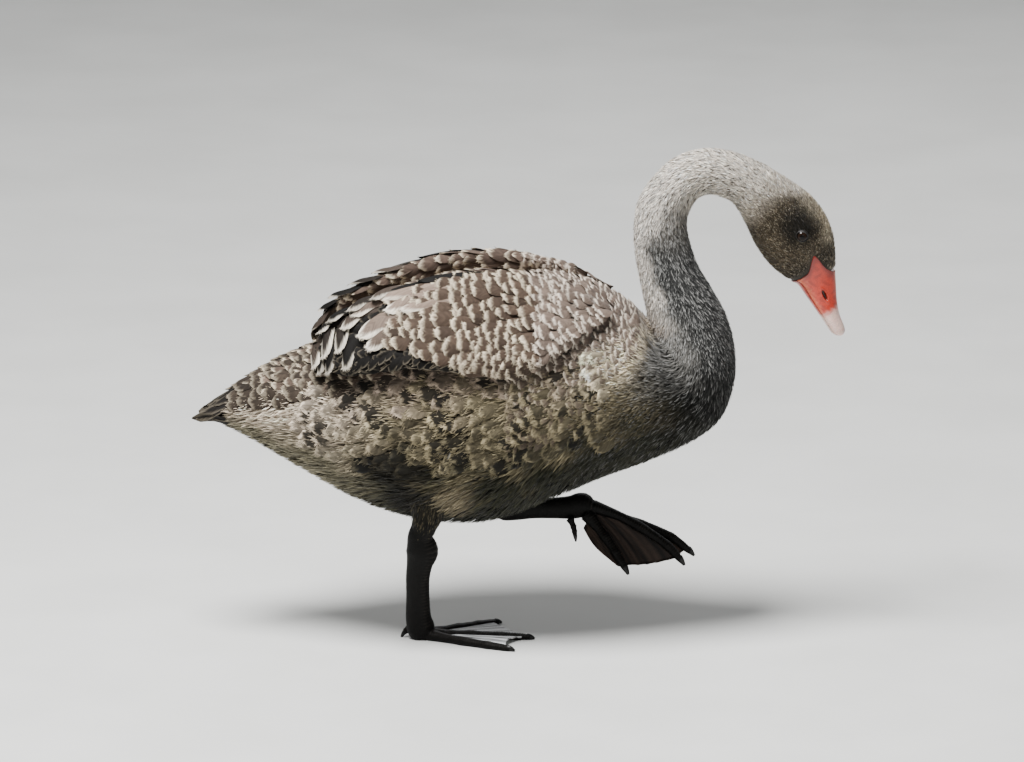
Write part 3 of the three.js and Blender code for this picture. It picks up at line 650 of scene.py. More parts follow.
def bill_half(upper, rings, arc, flat):
    """A half of the bill as closed rings: its outer arc, then the flat inside of the mouth."""
    share = np.concatenate([[0, 0.004], np.linspace(0.012, 1, rings)])[:, None]
    x = np.linspace(-1, 1, arc)[None, :]
    last = LAST if upper else LAST - 0.25
    u = STATION["nostril"] + 0 * share + 0 * x
    for _ in range(6):
        edge = mouth_turn(u)
        turn = x * edge if upper else math.pi + x * (math.pi - edge - MOUTH_GAP)
        u = bill_start(turn) * (1 - share) + last * share
    out = -bill_rounding(u) - 1.6 * (1 - step_up(share, 0, 0.01))
    skin_line = body_surface(u, turn, out)
    across = np.linspace(0, 1, flat + 2)[1:-1][None, :, None]
    inside = skin_line[:, -1:] * (1 - across) + skin_line[:, :1] * across
    points = np.concatenate([skin_line, inside], 1)
    return points, u, turn, x + 0 * u


def ring_colours(colour, ring_count):
    """Colours of closed rings from those of their outer arcs."""
    padded = np.repeat(colour[:, -1:], ring_count - colour.shape[1], axis=1)
    whole = np.concatenate([colour, padded], 1)
    return np.concatenate([whole[:1], whole, whole[-1:]]).reshape(-1, 3)


def bill_colour(u, turn, x, place):
    """Red with darker smears, paler along the mouth, a painted highlight along the ridge, and the band at
    its end.
    """
    along = place[..., 0]
    up = place[..., 2]
    mottle = 0.1 * np.sin(along * 900 + 3 * np.sin(up * 500))
    smear = np.sin(along * 460 + 2 * np.sin(up * 310)) * np.sin(up * 380 + 1)
    colour = blend(BILL_ROOT, BILL_RED, step_up(u - bill_start(turn), -0.05, 0.9))
    colour = blend(colour, BILL_ROOT, 0.4 * step_up(smear, 0.0, 0.8))
    colour = blend(colour, BILL_EDGE_AND_HIGHLIGHT_RED, 0.8 * step_up(np.abs(x) + 0.3 * mottle, 0.8, 1.0))
    # Painted highlight along the ridge of the bill
    colour = blend(colour, BILL_EDGE_AND_HIGHLIGHT_RED, 0.6 * step_up(np.cos(turn), 0.86, 1.0))
    band = step_up(u + 0.5 * mottle, STATION["nostril"] + 0.05, STATION["nostril"] + 0.75)
    return blend(colour, BILL_BAND, band)


bill_finish = painted_material(
    "waxy_bill", 0.34, 0.25, 700.0, 0.00035, Subsurface_Weight=0.12, Subsurface_Scale=0.004)
nail_finish = painted_material(
    "pale_nail", 0.3, 0.3, 900.0, 0.0002, Subsurface_Weight=0.1, Subsurface_Scale=0.003)
upper_points, upper_u, upper_turn, upper_x = bill_half(True, UPPER_RINGS, UPPER_ARC, 12)
in_side_view = upper_points[:, :UPPER_ARC] / MM
from_x = in_side_view[..., 0] - NOSTRIL["x"]
from_z = in_side_view[..., 2] - NOSTRIL["z"]
lean = (math.cos(NOSTRIL["pitch"]), math.sin(NOSTRIL["pitch"]))
along = (from_x * lean[0] - from_z * lean[1]) / NOSTRIL["long"]
across = (from_x * lean[1] + from_z * lean[0]) / NOSTRIL["high"]
from_slit = along**2 + across**2
pit = NOSTRIL["deep"] * np.sqrt(np.maximum(1 - from_slit, 0))
lip = 0.45 * np.exp(-((np.sqrt(from_slit) - 1.25) / 0.28) ** 2)
on_side = step_up(np.abs(np.sin(upper_turn)), 0.3, 0.5)
_, _, upper_out = surface_axes(body_surface, np.minimum(upper_u, LAST - 0.01), upper_turn)
upper_points[:, :UPPER_ARC] += upper_out * ((lip - pit) * on_side * MM)[..., None]
colour = bill_colour(upper_u, upper_turn, upper_x, upper_points[:, :UPPER_ARC])
# Painted shade in the nostril's pit
colour = blend(colour, NOSTRIL_SHADE, 0.95 * on_side * (1 - step_up(from_slit, 0.5, 1.15)))
rings = close_rings(upper_points)
bill_upper = build_mesh("upper_bill", rings.reshape(-1, 3), tube_faces(len(rings), rings.shape[1]))
paint(bill_upper, "tint", ring_colours(colour, rings.shape[1]))
bill_upper.data.materials.append(bill_finish)
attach(bill_upper, "root")
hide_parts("bill_upper")

lower_points, lower_u, lower_turn, lower_x = bill_half(False, LOWER_RINGS, LOWER_ARC, 12)
rings = close_rings(lower_points)
bill_lower = build_mesh("lower_bill", rings.reshape(-1, 3), tube_faces(len(rings), rings.shape[1]))
colour = bill_colour(lower_u, lower_turn, 0.5 * lower_x, lower_points[:, :LOWER_ARC])
paint(bill_lower, "tint", ring_colours(colour, rings.shape[1]))
bill_lower.data.materials.append(bill_finish)
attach(bill_lower, "root")
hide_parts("bill_lower")

share = np.linspace(0, 1, NAIL_ROWS)[:, None]
x = np.linspace(-1, 1, NAIL_COLUMNS)[None, :]
nail_u = NAIL_FROM + (LAST - NAIL_FROM) * share + 0 * x
nail_turn = x * 0.86 * np.sqrt(np.clip(1 - (1 - share * 1.02) ** 2, 0.0004, 1))
dome = np.minimum(np.minimum(1 - np.abs(x), share * 1.4), 1)
nail_out = -bill_rounding(nail_u) - 0.25 + 0.75 * np.sqrt(np.maximum(dome, 0))
nail_points = body_surface(nail_u, nail_turn, nail_out)
corner = np.arange(NAIL_ROWS - 1)[:, None] * NAIL_COLUMNS + np.arange(NAIL_COLUMNS - 1)[None, :]
nail_faces = np.stack([corner, corner + 1, corner + NAIL_COLUMNS + 1, corner + NAIL_COLUMNS], -1)
nail = build_mesh("bill_nail", nail_points.reshape(-1, 3), nail_faces.reshape(-1, 4))
paint(nail, "tint", blend(BILL_BAND, NAIL_PINK, step_up(share + 0 * x, 0.1, 0.5)).reshape(-1, 3))
nail.data.materials.append(nail_finish)
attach(nail, "root")
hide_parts("bill_tip")

# Legs and feet
# Bare black legs of scaled skin: plates across the front of the shank and the tops of the toes,
# fine net-like scales elsewhere, and webs between the three front toes that fold when lifted. The
# right foot stands flat and the left is carried ahead with its toes hanging.
RIGHT_LEG = np.array([
    (-91, -54, 161, 22, 16), (-94, -53, 138, 15, 12), (-98, -50, 123, 12.2, 10.2),
    (-101.5, -48, 113, 12.4, 9.5), (-99.5, -45, 98, 16, 11), (-102, -42, 84, 13, 9),
    (-104, -38, 68, 11.8, 7.4), (-104, -31, 46, 11.6, 7), (-103.5, -24, 24, 12.6, 8.4),
    (-101, -20, 11, 14, 11), (-99, -18, 4, 12, 11),
], float)
LEFT_LEG = np.array([
    (-27, 43.5, 119, 8, 6.5), (-18, 43, 119, 12.5, 9.5), (-5, 42, 119, 12, 8.8), (12, 41, 119.5, 10.6, 7),
    (32, 40, 120, 10.8, 6.8), (50, 39, 121, 12, 8), (61, 38.5, 123.5, 12.6, 10), (70, 38, 122, 8.5, 9.5),
], float)
RIGHT_TOES = {
    "inner": ((-97, -16, 4.4), (-60, 10, 3.6), (-24, 36, 2.4)),
    "middle": ((-97, -18, 4.6), (-45, -21, 4), (9, -23, 2.4)),
    "outer": ((-97, -20, 4.4), (-54, -46, 3.6), (-11, -68, 2.4)),
    "hind": ((-108, -16, 14), (-114, -15, 9), (-118, -14, 4)),
    "flap": ((-99, -6, 3), (-66, 22, 2.4), (-30, 38, 2.4)),
}
LEFT_TOES = {
    "inner": ((66, 33, 115), (86, 23, 91), (104, 12, 65)),
    "middle": ((66, 38, 124), (104, 38, 109), (142, 38, 85), (160, 38, 67)),
    "outer": ((67, 41, 122), (104, 49, 106), (145, 57, 88), (170, 63, 69)),
    "hind": ((49, 32, 111), (52.5, 30, 102), (54, 28.5, 94)),
    "flap": ((61, 31, 104), (74, 18, 86), (98, 9, 67)),
}
# How thick a toe is along its length, which swells at its joints
TOE_SWELL = np.array([
    (0, 1.3), (0.1, 1.12), (0.2, 0.92), (0.3, 0.8), (0.38, 0.84), (0.45, 0.94),
    (0.52, 0.82), (0.66, 0.76), (0.73, 0.86), (0.8, 0.74), (0.9, 0.7), (1, 0.5),
])
LEG_STEPS = 400
TOE_ROWS = 40
CLAW_ROWS = 20
LEG_PLATE = 3.8
TOE_PLATE = 2.6
PLATE_HIGH = 0.55
TOE_HALF = 5.8
WEB_HALF = 0.75
LEG_BLACK = srgb(9, 8, 7)
LEG_PAINTED_SHEEN = srgb(32, 29, 26)
# The standing foot's web is painted pale silver for the light it catches; the lifted foot's web is painted
# dark brown
WEB_LIT_SILVER = srgb(196, 197, 198)
WEB_BROWN = srgb(46, 36, 30)
CLAW_BLACK = srgb(8, 7, 6)
CLAW_LONG = 7.5
HIND_GIRTH = 0.7


def toe_line(points, t):
    points = np.array(points, float)
    return through(points, np.asarray(t) * (len(points) - 1))


def toe_table(points, thickness):
    """Stations of a toe that swells at its joints."""
    t = np.linspace(0, 1, TOE_ROWS)
    size = np.interp(t, TOE_SWELL[:, 0], TOE_SWELL[:, 1]) * TOE_HALF * thickness
    return np.column_stack([toe_line(points, t), size * 0.86, size])


def web_sheet(first, second, reach, sag, notch):
    """A web between two toes as a closed thin plate with folds that run out from the foot's root."""
    rows, columns = 44, 40
    across = np.linspace(0, 1, columns)[None, :]
    down = np.linspace(0, 1, rows)[:, None]
    bow = np.sin(math.pi * across)
    far = reach[0] + (reach[1] - reach[0]) * across - notch * bow
    along = 0.06 + (far - 0.06) * down
    grid = toe_line(first, along) * (1 - across[..., None]) + toe_line(second, along) * across[..., None]
    fold = np.sin(across * 34) * 0.28 + np.sin(across * 71 + 1) * 0.14
    grid[..., 2] += -sag * bow * down + fold * bow * np.minimum(down * 3, 1)
    over = grid + np.array([0, 0, WEB_HALF])
    under = (grid - np.array([0, 0, WEB_HALF]))[:, ::-1]
    rings = np.concatenate([over, under], 1)
    caps = [rings[end].mean(0) + (rings[end] - rings[end].mean(0)) * 0.98 for end in (0, -1)]
    rings = np.concatenate([caps[0][None], rings, caps[1][None]])
    flat = rings.reshape(-1, 3) * MM
    count = rings.shape[1]
    step = np.arange(columns - 1)
    lids = []
    for start in (0, (len(rings) - 1) * count):
        near = start + step
        far = start + count - 1 - step
        lids.append(np.stack([near, near + 1, far - 1, far], -1))
    return flat, np.vstack([tube_faces(len(rings), count)] + lids)


def claw_tube(points, thickness):
    """A blunt claw that carries a toe on and bends down from its tip."""
    t = np.linspace(0, 1, CLAW_ROWS)
    tip = toe_line(points, 0.97)
    ahead = unit(tip - toe_line(points, 0.9))
    line = tip + ahead * (t * CLAW_LONG * thickness)[:, None]
    line[:, 2] += 0.6 - 1.8 * t**2
    size = 3.3 * thickness * (1 - 0.66 * t**1.6)
    table = np.column_stack([line, size, size * 0.84])
    return closed_tube(tube_surface(table), np.linspace(0, CLAW_ROWS - 1, 40), 24)


def webs(name, toes, sag, web_colour, node):
    """The webs between the front toes and the flap inside the inner toe."""
    sheets = joined_tubes(name, [
        web_sheet(toes["flap"], toes["inner"], (0.97, 0.97), 0, 0),
        web_sheet(toes["inner"], toes["middle"], (0.93, 0.95), sag, 0.07),
        web_sheet(toes["middle"], toes["outer"], (0.95, 0.94), sag, 0.07),
    ])
    points = points_of(sheets).astype(float)
    from_root = points / MM - np.array(toes["middle"][0])
    spread = np.arctan2(from_root[:, 1], np.hypot(from_root[:, 0], from_root[:, 2]))
    reach = np.linalg.norm(from_root, axis=1)
    # Painted shade in the web's folds and painted highlight between them
    fold_shade_and_highlight = 0.5 + 0.35 * np.sin(spread * 52) + 0.25 * np.sin(spread * 131 + reach * 0.12)
    paint(sheets, "tint", blend(web_colour * 0.12, web_colour * 1.2, np.clip(fold_shade_and_highlight, 0, 1)))
    sheets.data.materials.append(web_finish)
    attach(sheets, "root")
    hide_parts(node)


def scaled_foot(name, leg, toes, girth, nodes):
    """A leg and its toes fused into one skin, then cut into scales."""
    tubes = [closed_tube(tube_surface(leg), np.linspace(0, len(leg) - 1, 140), 56)]
    lines = [through(leg, np.linspace(0, len(leg) - 1, LEG_STEPS))[:, :3]]
    girths = {"inner": girth, "middle": girth, "outer": girth, "hind": HIND_GIRTH}
    for toe, thickness in girths.items():
        table = toe_table(toes[toe], thickness)
        tubes.append(closed_tube(tube_surface(table), np.linspace(0, TOE_ROWS - 1, 100), 32))
        lines.append(toe_line(toes[toe], np.linspace(0.05, 1, 300)))
    foot = remeshed(joined_tubes(name, tubes), 0.0007, 2)
    points = points_of(foot).astype(float)
    tree = KDTree(sum(len(line) for line in lines))
    number = 0
    along = []
    for line in lines:
        reach = np.concatenate([[0], np.cumsum(np.linalg.norm(np.diff(line, axis=0), axis=1))])
        for place, distance in zip(line, reach):
            tree.insert(Vector(place * MM), number)
            along.append(distance)
            number += 1
    tree.balance()
    along = np.array(along)
    found = np.array([tree.find(point)[1] for point in points])
    normals = np.empty(len(points) * 3, np.float32)
    foot.data.vertices.foreach_get("normal", normals)
    normals = normals.reshape(-1, 3)
    distance = along[found]
    is_leg = found < LEG_STEPS
    front = np.where(is_leg, normals[:, 0], normals[:, 2])
    plated = step_up(front, 0.05, 0.45)
    pitch = np.where(is_leg, LEG_PLATE, TOE_PLATE)
    saw = (distance / pitch) % 1
    ridge = plated * PLATE_HIGH * saw**0.6
    points = points + normals * (ridge * MM)[:, None]
    points[:, 2] = np.maximum(points[:, 2], 0.0)
    foot.data.vertices.foreach_set("co", points.astype(np.float32).ravel())
    foot.data.update()
    groove = plated * (1 - step_up(saw, 0.0, 0.3))
    # A painted sheen on the rise of each front plate, left out of the groove between plates
    colour = blend(LEG_BLACK, LEG_PAINTED_SHEEN, 0.8 * plated * step_up(saw, 0.3, 0.95))
    colour = blend(colour, CLAW_BLACK, 0.9 * groove)
    paint(foot, "tint", colour)
    foot.data.materials.append(leg_finish)
    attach(foot, "root")
    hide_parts(*nodes)
    claws = joined_tubes(name + "_claws", [claw_tube(toes[toe], girths[toe]) for toe in girths])
    tips = points_of(claws)
    tips[:, 2] = np.maximum(tips[:, 2], 0.0)
    claws.data.vertices.foreach_set("co", tips.ravel())
    claws.data.update()
    paint(claws, "tint", np.broadcast_to(CLAW_BLACK, (len(tips), 3)))
    claws.data.materials.append(claw_finish)
    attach(claws, "root")
    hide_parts(nodes[-1])


def scale_material():
    """Leathery skin in small many-sided scales, with a dull sheen."""
    material, tree, shader = new_material("scaled_skin", Roughness=0.42, Specular_IOR_Level=0.08)
    place = put(tree, "TexCoord")["Object"]
    cells = put(tree, "TexVoronoi", {"feature": "DISTANCE_TO_EDGE"}, Vector=place, Scale=520.0)["Distance"]
    plates = smooth_step(tree, cells, 0.0, 0.16)
    grain = noise(tree, place, 260.0, 3.0)
    colour = put(tree, "Attribute", {"attribute_name": "tint"})["Color"]
    tone = smooth_step(tree, grain, 0.3, 0.7, 0.75, 1.25)
    colour = mix(tree, 1.0, colour, tone, "MULTIPLY")
    lines = smooth_step(tree, cells, 0.0, 0.1, 0.55, 1.0)
    tree.links.new(mix(tree, 1.0, colour, lines, "MULTIPLY"), shader["Base Color"])
    set_bump(tree, shader, plates, 0.5, 0.0003)
    return material


leg_finish = scale_material()
claw_finish = painted_material("claw_horn", 0.35, 0.05, 400.0, 0.0002, Specular_IOR_Level=0.25)
web_finish = painted_material("web_skin", 0.5, 0.0, 900.0, 0.0005, Specular_IOR_Level=0.2)
scaled_foot("leg_right", RIGHT_LEG, RIGHT_TOES, 1.0, ("shank_right", "foot_right"))
scaled_foot("leg_left", LEFT_LEG, LEFT_TOES, 1.15, ("shank_left", "foot_left"))
# The standing foot's web in its painted light, the lifted one in dark brown
webs("webs_right", RIGHT_TOES, -3, WEB_LIT_SILVER, "foot_right")
webs("webs_left", LEFT_TOES, 7, WEB_BROWN, "foot_left")

# Coat: how a feather is laid
# Every feather is a thin curved sheet with its root under the coat and its blade lying back along
# the body. All feathers of a part are one joined mesh, coloured by tint, rim and vane.
UV_PATCH = 0.003


def scatter(place, a_span, b_span, count, seed, density=None):
    """Root places spread evenly over a surface, and thinned where the density is low."""
    cells = 160
    edge_a = np.linspace(*a_span, cells + 1)
    edge_b = np.linspace(*b_span, cells + 1)
    middle_a = (edge_a[1:] + edge_a[:-1]) / 2
    middle_b = (edge_b[1:] + edge_b[:-1]) / 2
    grid_a, grid_b = np.meshgrid(middle_a, middle_b, indexing="ij")
    along, around, _ = surface_axes(place, grid_a, grid_b)
    weight = np.linalg.norm(np.cross(along, around), axis=-1)
    if density is not None:
        weight = weight * density(grid_a, grid_b)
    row_sum = weight.sum(1)
    row_share = np.concatenate([[0], np.cumsum(row_sum)]) / row_sum.sum()
    column_share = np.concatenate([np.zeros((cells, 1)), np.cumsum(weight, 1)], 1)
    column_share /= np.maximum(row_sum, 1e-12)[:, None]
    number = np.arange(count)
    first = (seed * 0.137 + number * 0.7548776662466927) % 1
    second = (seed * 0.311 + number * 0.5698402909980532) % 1
    a = np.interp(first, row_share, edge_a)
    row = np.clip(np.searchsorted(edge_a, a) - 1, 0, cells - 1)
    column = np.clip((column_share[row] < second[:, None]).sum(1) - 1, 0, cells - 1)
    low = column_share[row, column]
    high = column_share[row, column + 1]
    b = edge_b[column] + (edge_b[1] - edge_b[0]) * (second - low) / np.maximum(high - low, 1e-12)
    rng = np.random.default_rng(seed)
    shake_a = (a_span[1] - a_span[0]) / math.sqrt(count) * 0.3
    shake_b = (b_span[1] - b_span[0]) / math.sqrt(count) * 0.3
    return a + shake_a * rng.normal(size=count), b + shake_b * rng.normal(size=count)


def contour_shape(t):
    """A body feather: broad before its rounded end."""
    return np.minimum(1, 0.45 + 1.1 * t) * np.sqrt(np.maximum(1 - t**7, 0.04))


def tuft_shape(t):
    """A tuft of down: soonest broad, then drawn to a point."""
    return np.minimum(1, 0.5 + 3 * t) * np.maximum(1 - t**1.6, 0.06)


def quill_shape(t):
    """A flight feather: narrow at its root, even along its blade, rounded at its end."""
    return np.minimum(1, 0.3 + 2.2 * t) * np.sqrt(np.maximum(1 - t**9, 0.03))


def midlines(place, roots, rows, long, rise, heading, bend):
    """Middle lines of feathers that lie back over a surface from their roots, and the way out."""
    a, b = (np.array(root, float) for root in roots)
    count = len(a)
    step = np.broadcast_to(long, count) / (rows - 1) * MM
    low, high = (np.broadcast_to(level, count) for level in rise)
    middle = np.empty((count, rows, 3))
    out = np.empty((count, rows, 3))
    for row, t in enumerate(np.linspace(0, 1, rows)):
        along, around, out[:, row] = surface_axes(place, a, b)
        height = (low + (high - low) * t**0.7) * MM
        middle[:, row] = place(a, b, 0.0) + out[:, row] * height[:, None]
        turned = heading + bend * t
        a = a - np.cos(turned) * step / np.maximum(np.linalg.norm(along, axis=-1), 1e-6)
        b = b + np.sin(turned) * step / np.maximum(np.linalg.norm(around, axis=-1), 1e-6)
    return middle, out


def blades(middle, out, bake, columns, wide, tint, rim, rng, cup=0.15, roll=0.0, wave=0.0, fray=0.0,
           shape=contour_shape):
    """Blades along middle lines, as points, faces and what their finish needs."""
    count, rows = middle.shape[:2]
    t = np.linspace(0, 1, rows)
    x = np.linspace(-1, 1, columns)
    forward = unit(np.gradient(middle, axis=1))
    side = unit(np.cross(out, forward))
    face = np.cross(forward, side)
    half = np.broadcast_to(wide, count)[:, None] * shape(t)[None, :] * MM
    tilt = np.broadcast_to(roll, count)[:, None, None] * x
    ripple = wave * rng.normal(size=(count, 1, columns)) * t[None, :, None]
    level = (tilt - cup * x**2 + ripple) * half[..., None]
    reach = np.linalg.norm(middle[:, -1] - middle[:, 0], axis=-1)[:, None, None]
    ragged = fray * reach * rng.normal(size=(count, 1, columns)) * (t**3)[None, :, None]
    points = middle[:, :, None] + side[:, :, None] * (x * half[..., None])[..., None]
    points = points + face[:, :, None] * level[..., None] + forward[:, :, None] * ragged[..., None]
    corner = np.arange(rows - 1)[:, None] * columns + np.arange(columns - 1)[None, :]
    quad = np.stack([corner, corner + 1, corner + columns + 1, corner + columns], -1).reshape(-1, 4)
    faces = (quad[None] + (np.arange(count) * rows * columns)[:, None, None]).reshape(-1, 4)
    grid_shape = (count, rows, columns)
    vane = np.stack([
        np.broadcast_to(x[None, None] * 0.5 + 0.5, grid_shape),
        np.broadcast_to(t[None, :, None], grid_shape),
        np.broadcast_to(rng.random(count)[:, None, None], grid_shape),
    ], -1)
    per_point = rows * columns
    return {
        "points": points.reshape(-1, 3),
        "faces": faces,
        "vane": vane.reshape(-1, 3),
        "bake": (bake[:, None, None] + (vane[..., :2] - 0.5) * UV_PATCH).reshape(-1, 2),
        "tint": np.repeat(tint, per_point, axis=0),
        "rim": np.repeat(rim, per_point, axis=0),
        "grid": points,
    }


def bake_place(roots, spans):
    """Where a feather's root lies on the unwrapped skin, from 0 to 1 both ways."""
    (a0, a1), (b0, b1) = spans
    return np.stack([(roots[1] - b0) / (b1 - b0), (roots[0] - a0) / (a1 - a0)], -1)


def lay(place, roots, spans, grid, long, wide, rise, tint, rim, seed, heading=0.0, bend=0.0, **way):
    """One layer of feathers over a surface."""
    middle, out = midlines(place, roots, grid[0], long, rise, heading, bend)
    rng = np.random.default_rng(seed)
    return blades(middle, out, bake_place(roots, spans), grid[1], wide, tint, rim, rng, **way)


def loose_barbs(layer, per_feather, long, wide, seed):
    """Fine loose barbs that fray the end of each feather of a layer, in its fringe's colour."""
    rng = np.random.default_rng(seed)
    grid = layer["grid"]
    count, rows, columns = grid.shape[:3]
    x = rng.uniform(-1, 1, (count, per_feather))
    column = (x + 1) / 2 * (columns - 1)
    low = np.minimum(column.astype(int), columns - 2)
    part = (column - low)[..., None]
    number = np.arange(count)[:, None]
    near = grid[number, rows - 2, low] * (1 - part) + grid[number, rows - 2, low + 1] * part
    tip = grid[number, rows - 1, low] * (1 - part) + grid[number, rows - 1, low + 1] * part
    base = near + (tip - near) * rng.uniform(0.35, 0.95, (count, per_feather, 1))
    ahead = unit(grid[:, -1, columns // 2] - grid[:, -2, columns // 2])[:, None]
    side = unit(grid[:, -2, -1] - grid[:, -2, 0])[:, None]
    face = np.cross(ahead, side)
    way = unit(ahead + side * (0.9 * x + 0.2 * rng.normal(size=x.shape))[..., None])
    long = long * rng.uniform(0.5, 1.2, x.shape)[..., None] * MM
    t = np.array([0, 0.5, 1])[:, None]
    lift = rng.uniform(-0.25, 0.35, x.shape)[..., None, None]
    middle = (base - 0.3 * way * long)[:, :, None] + (way * long)[:, :, None] * t
    middle = middle + (face * long)[:, :, None] * lift * t**2
    middle = middle.reshape(-1, 3, 3)
    out = np.broadcast_to(face[:, :, None], (count, per_feather, 3, 3)).reshape(-1, 3, 3)
    first = rows * columns
    bake = np.repeat(layer["bake"][::first], per_feather, axis=0)
    rim = np.repeat(layer["rim"][::first], per_feather, axis=0)
    tint = np.repeat(layer["tint"][::first], per_feather, axis=0)
    tint = tint + (rim[:, :3] - tint) * np.minimum(rim[:, 3:] * 1.05, 1)
    return blades(middle, out, bake, 2, wide, tint, with_alpha(tint, 0.0), rng, shape=tuft_shape)


def coat_piece(name, layers, material, slot, *nodes):
    """Joins layers of feathers into one piece with its colours and its baking map."""
    first = np.cumsum([0] + [len(layer["points"]) for layer in layers])
    faces = np.vstack([layer["faces"] + start for layer, start in zip(layers, first)])
    kinds = ("points", "vane", "bake", "tint", "rim")
    both = {kind: np.vstack([layer[kind] for layer in layers]) for kind in kinds}
    piece = build_mesh(name, both["points"], faces)
    paint(piece, "tint", both["tint"])
    paint(piece, "rim", both["rim"])
    vane = piece.data.attributes.new("vane", "FLOAT_VECTOR", "POINT")
    vane.data.foreach_set("vector", both["vane"].astype(np.float32).ravel())
    bake = piece.data.uv_layers.new(name="OFBake")
    bake.data.foreach_set("uv", both["bake"][faces.ravel()].astype(np.float32).ravel())
    piece.data.materials.append(material)
    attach(piece, "root")
    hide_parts(*nodes)


def feather_material(name, fringe, soft, barbs, streak, roughness, sheen):
    """A vane of fine barbs. Its own colour turns to its fringe's near a place along it, over a
    spread, and sooner at its sides; the change frays along the barbs by the softness."""
    material, tree, shader = new_material(
        name, Roughness=roughness, Sheen_Weight=sheen, Specular_IOR_Level=0.12)
    start, spread, sides = fringe
    vane = put(tree, "Attribute", {"attribute_name": "vane"})["Vector"]
    parts = put(tree, "SeparateXYZ", None, Vector=vane)
    edge = maths(tree, "ABSOLUTE", maths(tree, "MULTIPLY", maths(tree, "SUBTRACT", parts["X"], 0.5), 2.0))
    slant = maths(tree, "MULTIPLY", edge, barbs * 0.3)
    run = maths(tree, "SUBTRACT", maths(tree, "MULTIPLY", parts["Y"], barbs), slant)
    own = maths(tree, "MULTIPLY", parts["Z"], 61.0)
    strands = put(tree, "CombineXYZ", None, X=run, Y=maths(tree, "MULTIPLY", edge, 1.5), Z=own)[0]
    frayed = noise(tree, strands, 1.0, 2.0)
    at_sides = maths(tree, "MULTIPLY", maths(tree, "MULTIPLY", edge, edge), sides)
    reach = maths(tree, "ADD", parts["Y"], at_sides)
    reach = maths(tree, "ADD", reach, maths(tree, "MULTIPLY", maths(tree, "SUBTRACT", frayed, 0.5), soft))
    rim = put(tree, "Attribute", {"attribute_name": "rim"})
    weight = maths(tree, "MULTIPLY", smooth_step(tree, reach, start - spread, start + spread), rim["Alpha"])
    tint = put(tree, "Attribute", {"attribute_name": "tint"})["Color"]
    colour = mix(tree, weight, tint, rim["Color"])
    tone = smooth_step(tree, frayed, 0.3, 0.7, 1.0 - streak, 1.0 + streak * 0.5)
    colour = mix(tree, 1.0, colour, tone, "MULTIPLY")
    tree.links.new(colour, shader["Base Color"])
    set_bump(tree, shader, frayed, 0.35, 0.0004)
    return material


# Coat: velvet of the head
# The head is clothed in very short, close feathers like velvet, dark brown with tiny pale tips,
# almost black before the eye and by the bill.


def head_room(u, turn):
    """Full on the feathered head, nothing on the bill and round the eye."""
    place = body_surface(u, turn) / MM
    x, z = place[..., 0], place[..., 2]
    bare = inside_outline(BILL_EDGE, x + 0.8, z - 1.2)
    return (~bare) * step_up(np.hypot((x - EYE_PLACE[0]) / 1.08, z - EYE_PLACE[1]), 4.6, 6.2)


def with_alpha(colour, alpha):
    return np.concatenate([colour, np.broadcast_to(alpha, (len(colour), 1))], 1)


def varied(colour, amount, rng):
    """The same colour, a little lighter or darker from feather to feather."""
    return np.clip(colour * np.exp(amount * rng.normal(size=(len(colour), 1))), 0, 0.95)


def body_tufts(span, count, seed, long, wide, rise, vary, tip, tip_share, density=None, grid=(4, 2),
               sweep=None, **way):
    """Tufts of down on the body, coloured by their place. Some have tips of a set colour or, where
    none is set, of their own colour made paler."""
    rng = np.random.default_rng(seed + 100)
    u, turn = scatter(body_surface, span, (-math.pi, math.pi), count, seed, density)
    if density is not None:
        kept = density(u, turn) > 0.02
        u, turn = u[kept], turn[kept]
    depth = through(SECTION_TABLE, u)[:, 6]
    tint = varied(coat_colour(u, turn, body_surface(u, turn)), vary, rng)
    tip = np.minimum(tint * 2.1, 0.9) if tip is None else np.broadcast_to(tip, tint.shape)
    rim = with_alpha(tip, (rng.random((len(u), 1)) < tip_share) * 0.8)
    size = rng.uniform(0.75, 1.25, len(u))
    heading = 0.22 * rng.normal(size=len(u))
    if sweep is not None:
        heading = heading + sweep(u, turn)
    return lay(
        body_surface, (u, turn), (span, (-math.pi, math.pi)), grid, long * size, wide * size,
        (-depth - 0.5, rise + 0.35 * rng.normal(size=len(u))), tint, rim, seed,
        heading=heading, roll=0.35 * rng.normal(size=len(u)), shape=tuft_shape, **way)


velvet = feather_material(
    "velvet", (0.72, 0.08, 0.0), 0.2, barbs=5.0, streak=0.35, roughness=0.8, sheen=0.15)
HEAD_SPAN = (STATION["nape"] - 0.2, STATION["bill ridge"])
PALE_TIP = srgb(176, 166, 146)


def head_velvet():
    """The head's velvet: its pale tips are left out in the dark patch round the eye."""
    layer = body_tufts(HEAD_SPAN, 18000, 1, 4.4, 0.8, 0.2, 0.4, PALE_TIP, 0.26, head_room, (3, 2))
    x = layer["points"][:, 0] / MM
    z = layer["points"][:, 2] / MM
    layer["rim"][:, 3] *= step_up(np.hypot(x - EYE_PATCH[0], z - EYE_PATCH[1]), 7, 22)
    return layer


coat_piece("head_coat", [head_velvet()], velvet, "head_plumage", "head")

# Coat: neck
# The neck wears short narrow feathers that run down it like fine hair: pale buff behind and over
# the arch with dark flecks, slate with silvery streaks in front.
streaked = feather_material(
    "streaked", (0.6, 0.35, 0.0), 0.3, barbs=5.0, streak=0.35, roughness=0.85, sheen=0.1)
NECK_SPAN = (STATION["neck foot"] - 0.6, STATION["hind crown"] - 0.4)
SILVER = srgb(148, 147, 144)
FLECK = srgb(80, 74, 68)


def neck_streaks(span, count, seed, long, wide):
    return body_tufts(span, count, seed, long, wide, 0.5, 0.3, SILVER, 0.3, None, (4, 2), bend=0.12)


